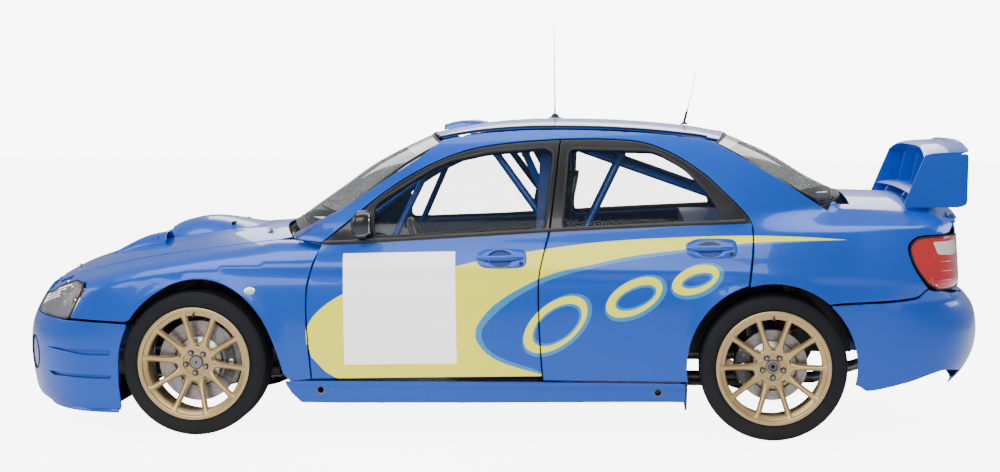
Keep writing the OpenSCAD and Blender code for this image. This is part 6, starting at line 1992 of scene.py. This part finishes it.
def finish_frame():
    """Gives every CAD node that stays its own finish."""
    for node, obj in NODES.items():
        kind = next((k for k in CAD_FINISH if node.startswith(k)), None)
        if kind:
            obj.data.materials.clear()
            obj.data.materials.append(MATERIALS[CAD_FINISH[kind]])


# studio: metres and watts, apart from the sensor's millimetres
FLOOR_HALF = 40.0
FLOOR_Z = -0.001
SENSOR_WIDTH = 36
LIGHT_AIM = (0, 0, 0.6)
CAMERA_RAY_BOOST = 8.0
WORLD_POWER = 0.42
LIGHTS = (
    ("light_top", (0.0, 0.5, 5.2), (7.5, 3.4), 330),
    ("light_side", (1.5, 6.5, 3.6), (6, 2.5), 200),
    ("light_nose", (6.5, 1.0, 3.0), (3, 3), 90),
    ("light_back", (-6.5, -2.0, 3.6), (3, 3), 110),
    ("light_far", (0, -6.5, 3.8), (6, 2.5), 200),
)


def stage(context):
    cam = context.scene.rally_camera
    data = bpy.data.cameras.new("camera")
    data.lens = cam.lens
    data.sensor_width = SENSOR_WIDTH
    data.clip_end = 200
    obj = bpy.data.objects.new("camera", data)
    obj.location = cam.place
    obj.rotation_euler = Vector(cam.look).to_track_quat("-Z", "Y").to_euler()
    context.scene.collection.objects.link(obj)
    context.scene.camera = obj
    me = bpy.data.meshes.new("studio_floor")
    s, z = FLOOR_HALF, FLOOR_Z
    me.from_pydata([(-s, -s, z), (s, -s, z), (s, s, z), (-s, s, z)], [], [(0, 1, 2, 3)])
    me.materials.append(MATERIALS["floor_white"])
    floor = bpy.data.objects.new("studio_floor", me)
    context.scene.collection.objects.link(floor)
    for name, place, size, power in LIGHTS:
        lamp = bpy.data.lights.new(name, "AREA")
        lamp.shape = "RECTANGLE"
        lamp.size, lamp.size_y = size
        lamp.energy = power
        o = bpy.data.objects.new(name, lamp)
        o.location = place
        o.rotation_euler = (Vector(LIGHT_AIM) - Vector(place)).to_track_quat("-Z", "Y").to_euler()
        context.scene.collection.objects.link(o)
    world = bpy.data.worlds.new("studio")
    world.use_nodes = True
    bg = world.node_tree.nodes["Background"]
    bg.inputs[0].default_value = (1, 1, 1, 1)
    seen = world.node_tree.nodes.new("ShaderNodeLightPath")
    power = math_node(world.node_tree, "ADD",
                      math_node(world.node_tree, "MULTIPLY", seen.outputs["Is Camera Ray"], CAMERA_RAY_BOOST),
                      WORLD_POWER)
    world.node_tree.links.new(power, bg.inputs[1])
    context.scene.world = world


def build_sides():
    for word, side in LEFT_RIGHT:
        body_side(word, side)
        front_wing(word, side)
        skirt_piece(word, side)


def build_doors():
    for word, side in LEFT_RIGHT:
        for which in ("front", "rear"):
            door_pieces(which, word, side)


def build_ends():
    bonnet_piece()
    boot_lid_piece()
    roof_piece()
    front_bumper_piece()
    grille_piece()
    rear_bumper_piece()


def build_wheels():
    for word, side in LEFT_RIGHT:
        for end in ("front", "rear"):
            wheel_pieces(end, word, side)
    springs_piece()


def build_details():
    for word, side in LEFT_RIGHT:
        lamp_pieces(word, side)
        mirror_piece(word, side)
    wing_piece()
    vent_piece()
    cowl_piece()
    underbody_piece()


def build_cockpit():
    for word, side in LEFT_RIGHT:
        seat_piece(word, side)
    cockpit_piece()


class RALLY_OT_finishes(bpy.types.Operator):
    """Makes the materials and dresses the frame"""
    bl_idname = "rally.finishes"
    bl_label = "Finishes"

    def execute(self, context):
        make_materials(context.scene.rally_look)
        finish_frame()
        return {"FINISHED"}


class RALLY_OT_stage(bpy.types.Operator):
    """Camera, floor and soft lights"""
    bl_idname = "rally.stage"
    bl_label = "Studio"

    def execute(self, context):
        stage(context)
        return {"FINISHED"}


class RALLY_OT_sides(bpy.types.Operator):
    """Wings, quarters, posts and skirts"""
    bl_idname = "rally.sides"
    bl_label = "Body sides"

    def execute(self, context):
        build_sides()
        return {"FINISHED"}


class RALLY_OT_doors(bpy.types.Operator):
    """Four doors with their glass, seals and handles"""
    bl_idname = "rally.doors"
    bl_label = "Doors"

    def execute(self, context):
        build_doors()
        return {"FINISHED"}


class RALLY_OT_ends(bpy.types.Operator):
    """The panels across the car"""
    bl_idname = "rally.ends"
    bl_label = "Bonnet, roof, boot and bumpers"

    def execute(self, context):
        build_ends()
        return {"FINISHED"}


class RALLY_OT_screens(bpy.types.Operator):
    """Windscreen and rear screen"""
    bl_idname = "rally.screens"
    bl_label = "Screens"

    def execute(self, context):
        screens()
        return {"FINISHED"}


class RALLY_OT_wheels(bpy.types.Operator):
    """Tyres, spoked rims, discs, calipers and springs"""
    bl_idname = "rally.wheels"
    bl_label = "Wheels and brakes"

    def execute(self, context):
        build_wheels()
        return {"FINISHED"}


class RALLY_OT_details(bpy.types.Operator):
    """Lamps, mirrors, rear wing, roof vent, aerials and wipers"""
    bl_idname = "rally.details"
    bl_label = "Lamps and details"

    def execute(self, context):
        build_details()
        return {"FINISHED"}


class RALLY_OT_cockpit(bpy.types.Operator):
    """Seats, harnesses, dashboard, steering wheel and cage braces"""
    bl_idname = "rally.cockpit"
    bl_label = "Cockpit"

    def execute(self, context):
        build_cockpit()
        return {"FINISHED"}


STEPS = [RALLY_OT_finishes, RALLY_OT_stage, RALLY_OT_sides, RALLY_OT_doors, RALLY_OT_ends, RALLY_OT_screens,
         RALLY_OT_wheels, RALLY_OT_details, RALLY_OT_cockpit]


class RALLY_PT_panel(bpy.types.Panel):
    bl_label = "Rally car"
    bl_idname = "RALLY_PT_panel"
    bl_space_type = "VIEW_3D"
    bl_region_type = "UI"
    bl_category = "Rally car"

    def draw(self, context):
        col = self.layout.column()
        for group in (context.scene.rally_look, context.scene.rally_camera):
            for key in group.__annotations__:
                col.prop(group, key)
        for step in STEPS:
            col.operator(step.bl_idname)


CLASSES = [RallyLook, RallyCamera] + STEPS + [RALLY_PT_panel]


def register():
    for c in CLASSES:
        bpy.utils.register_class(c)
    bpy.types.Scene.rally_look = bpy.props.PointerProperty(type=RallyLook)
    bpy.types.Scene.rally_camera = bpy.props.PointerProperty(type=RallyCamera)


def unregister():
    del bpy.types.Scene.rally_camera
    del bpy.types.Scene.rally_look
    for c in reversed(CLASSES):
        bpy.utils.unregister_class(c)


def main():
    register()
    for step in STEPS:
        getattr(bpy.ops.rally, step.bl_idname.split(".")[1])()


if __name__ == "__main__":
    main()
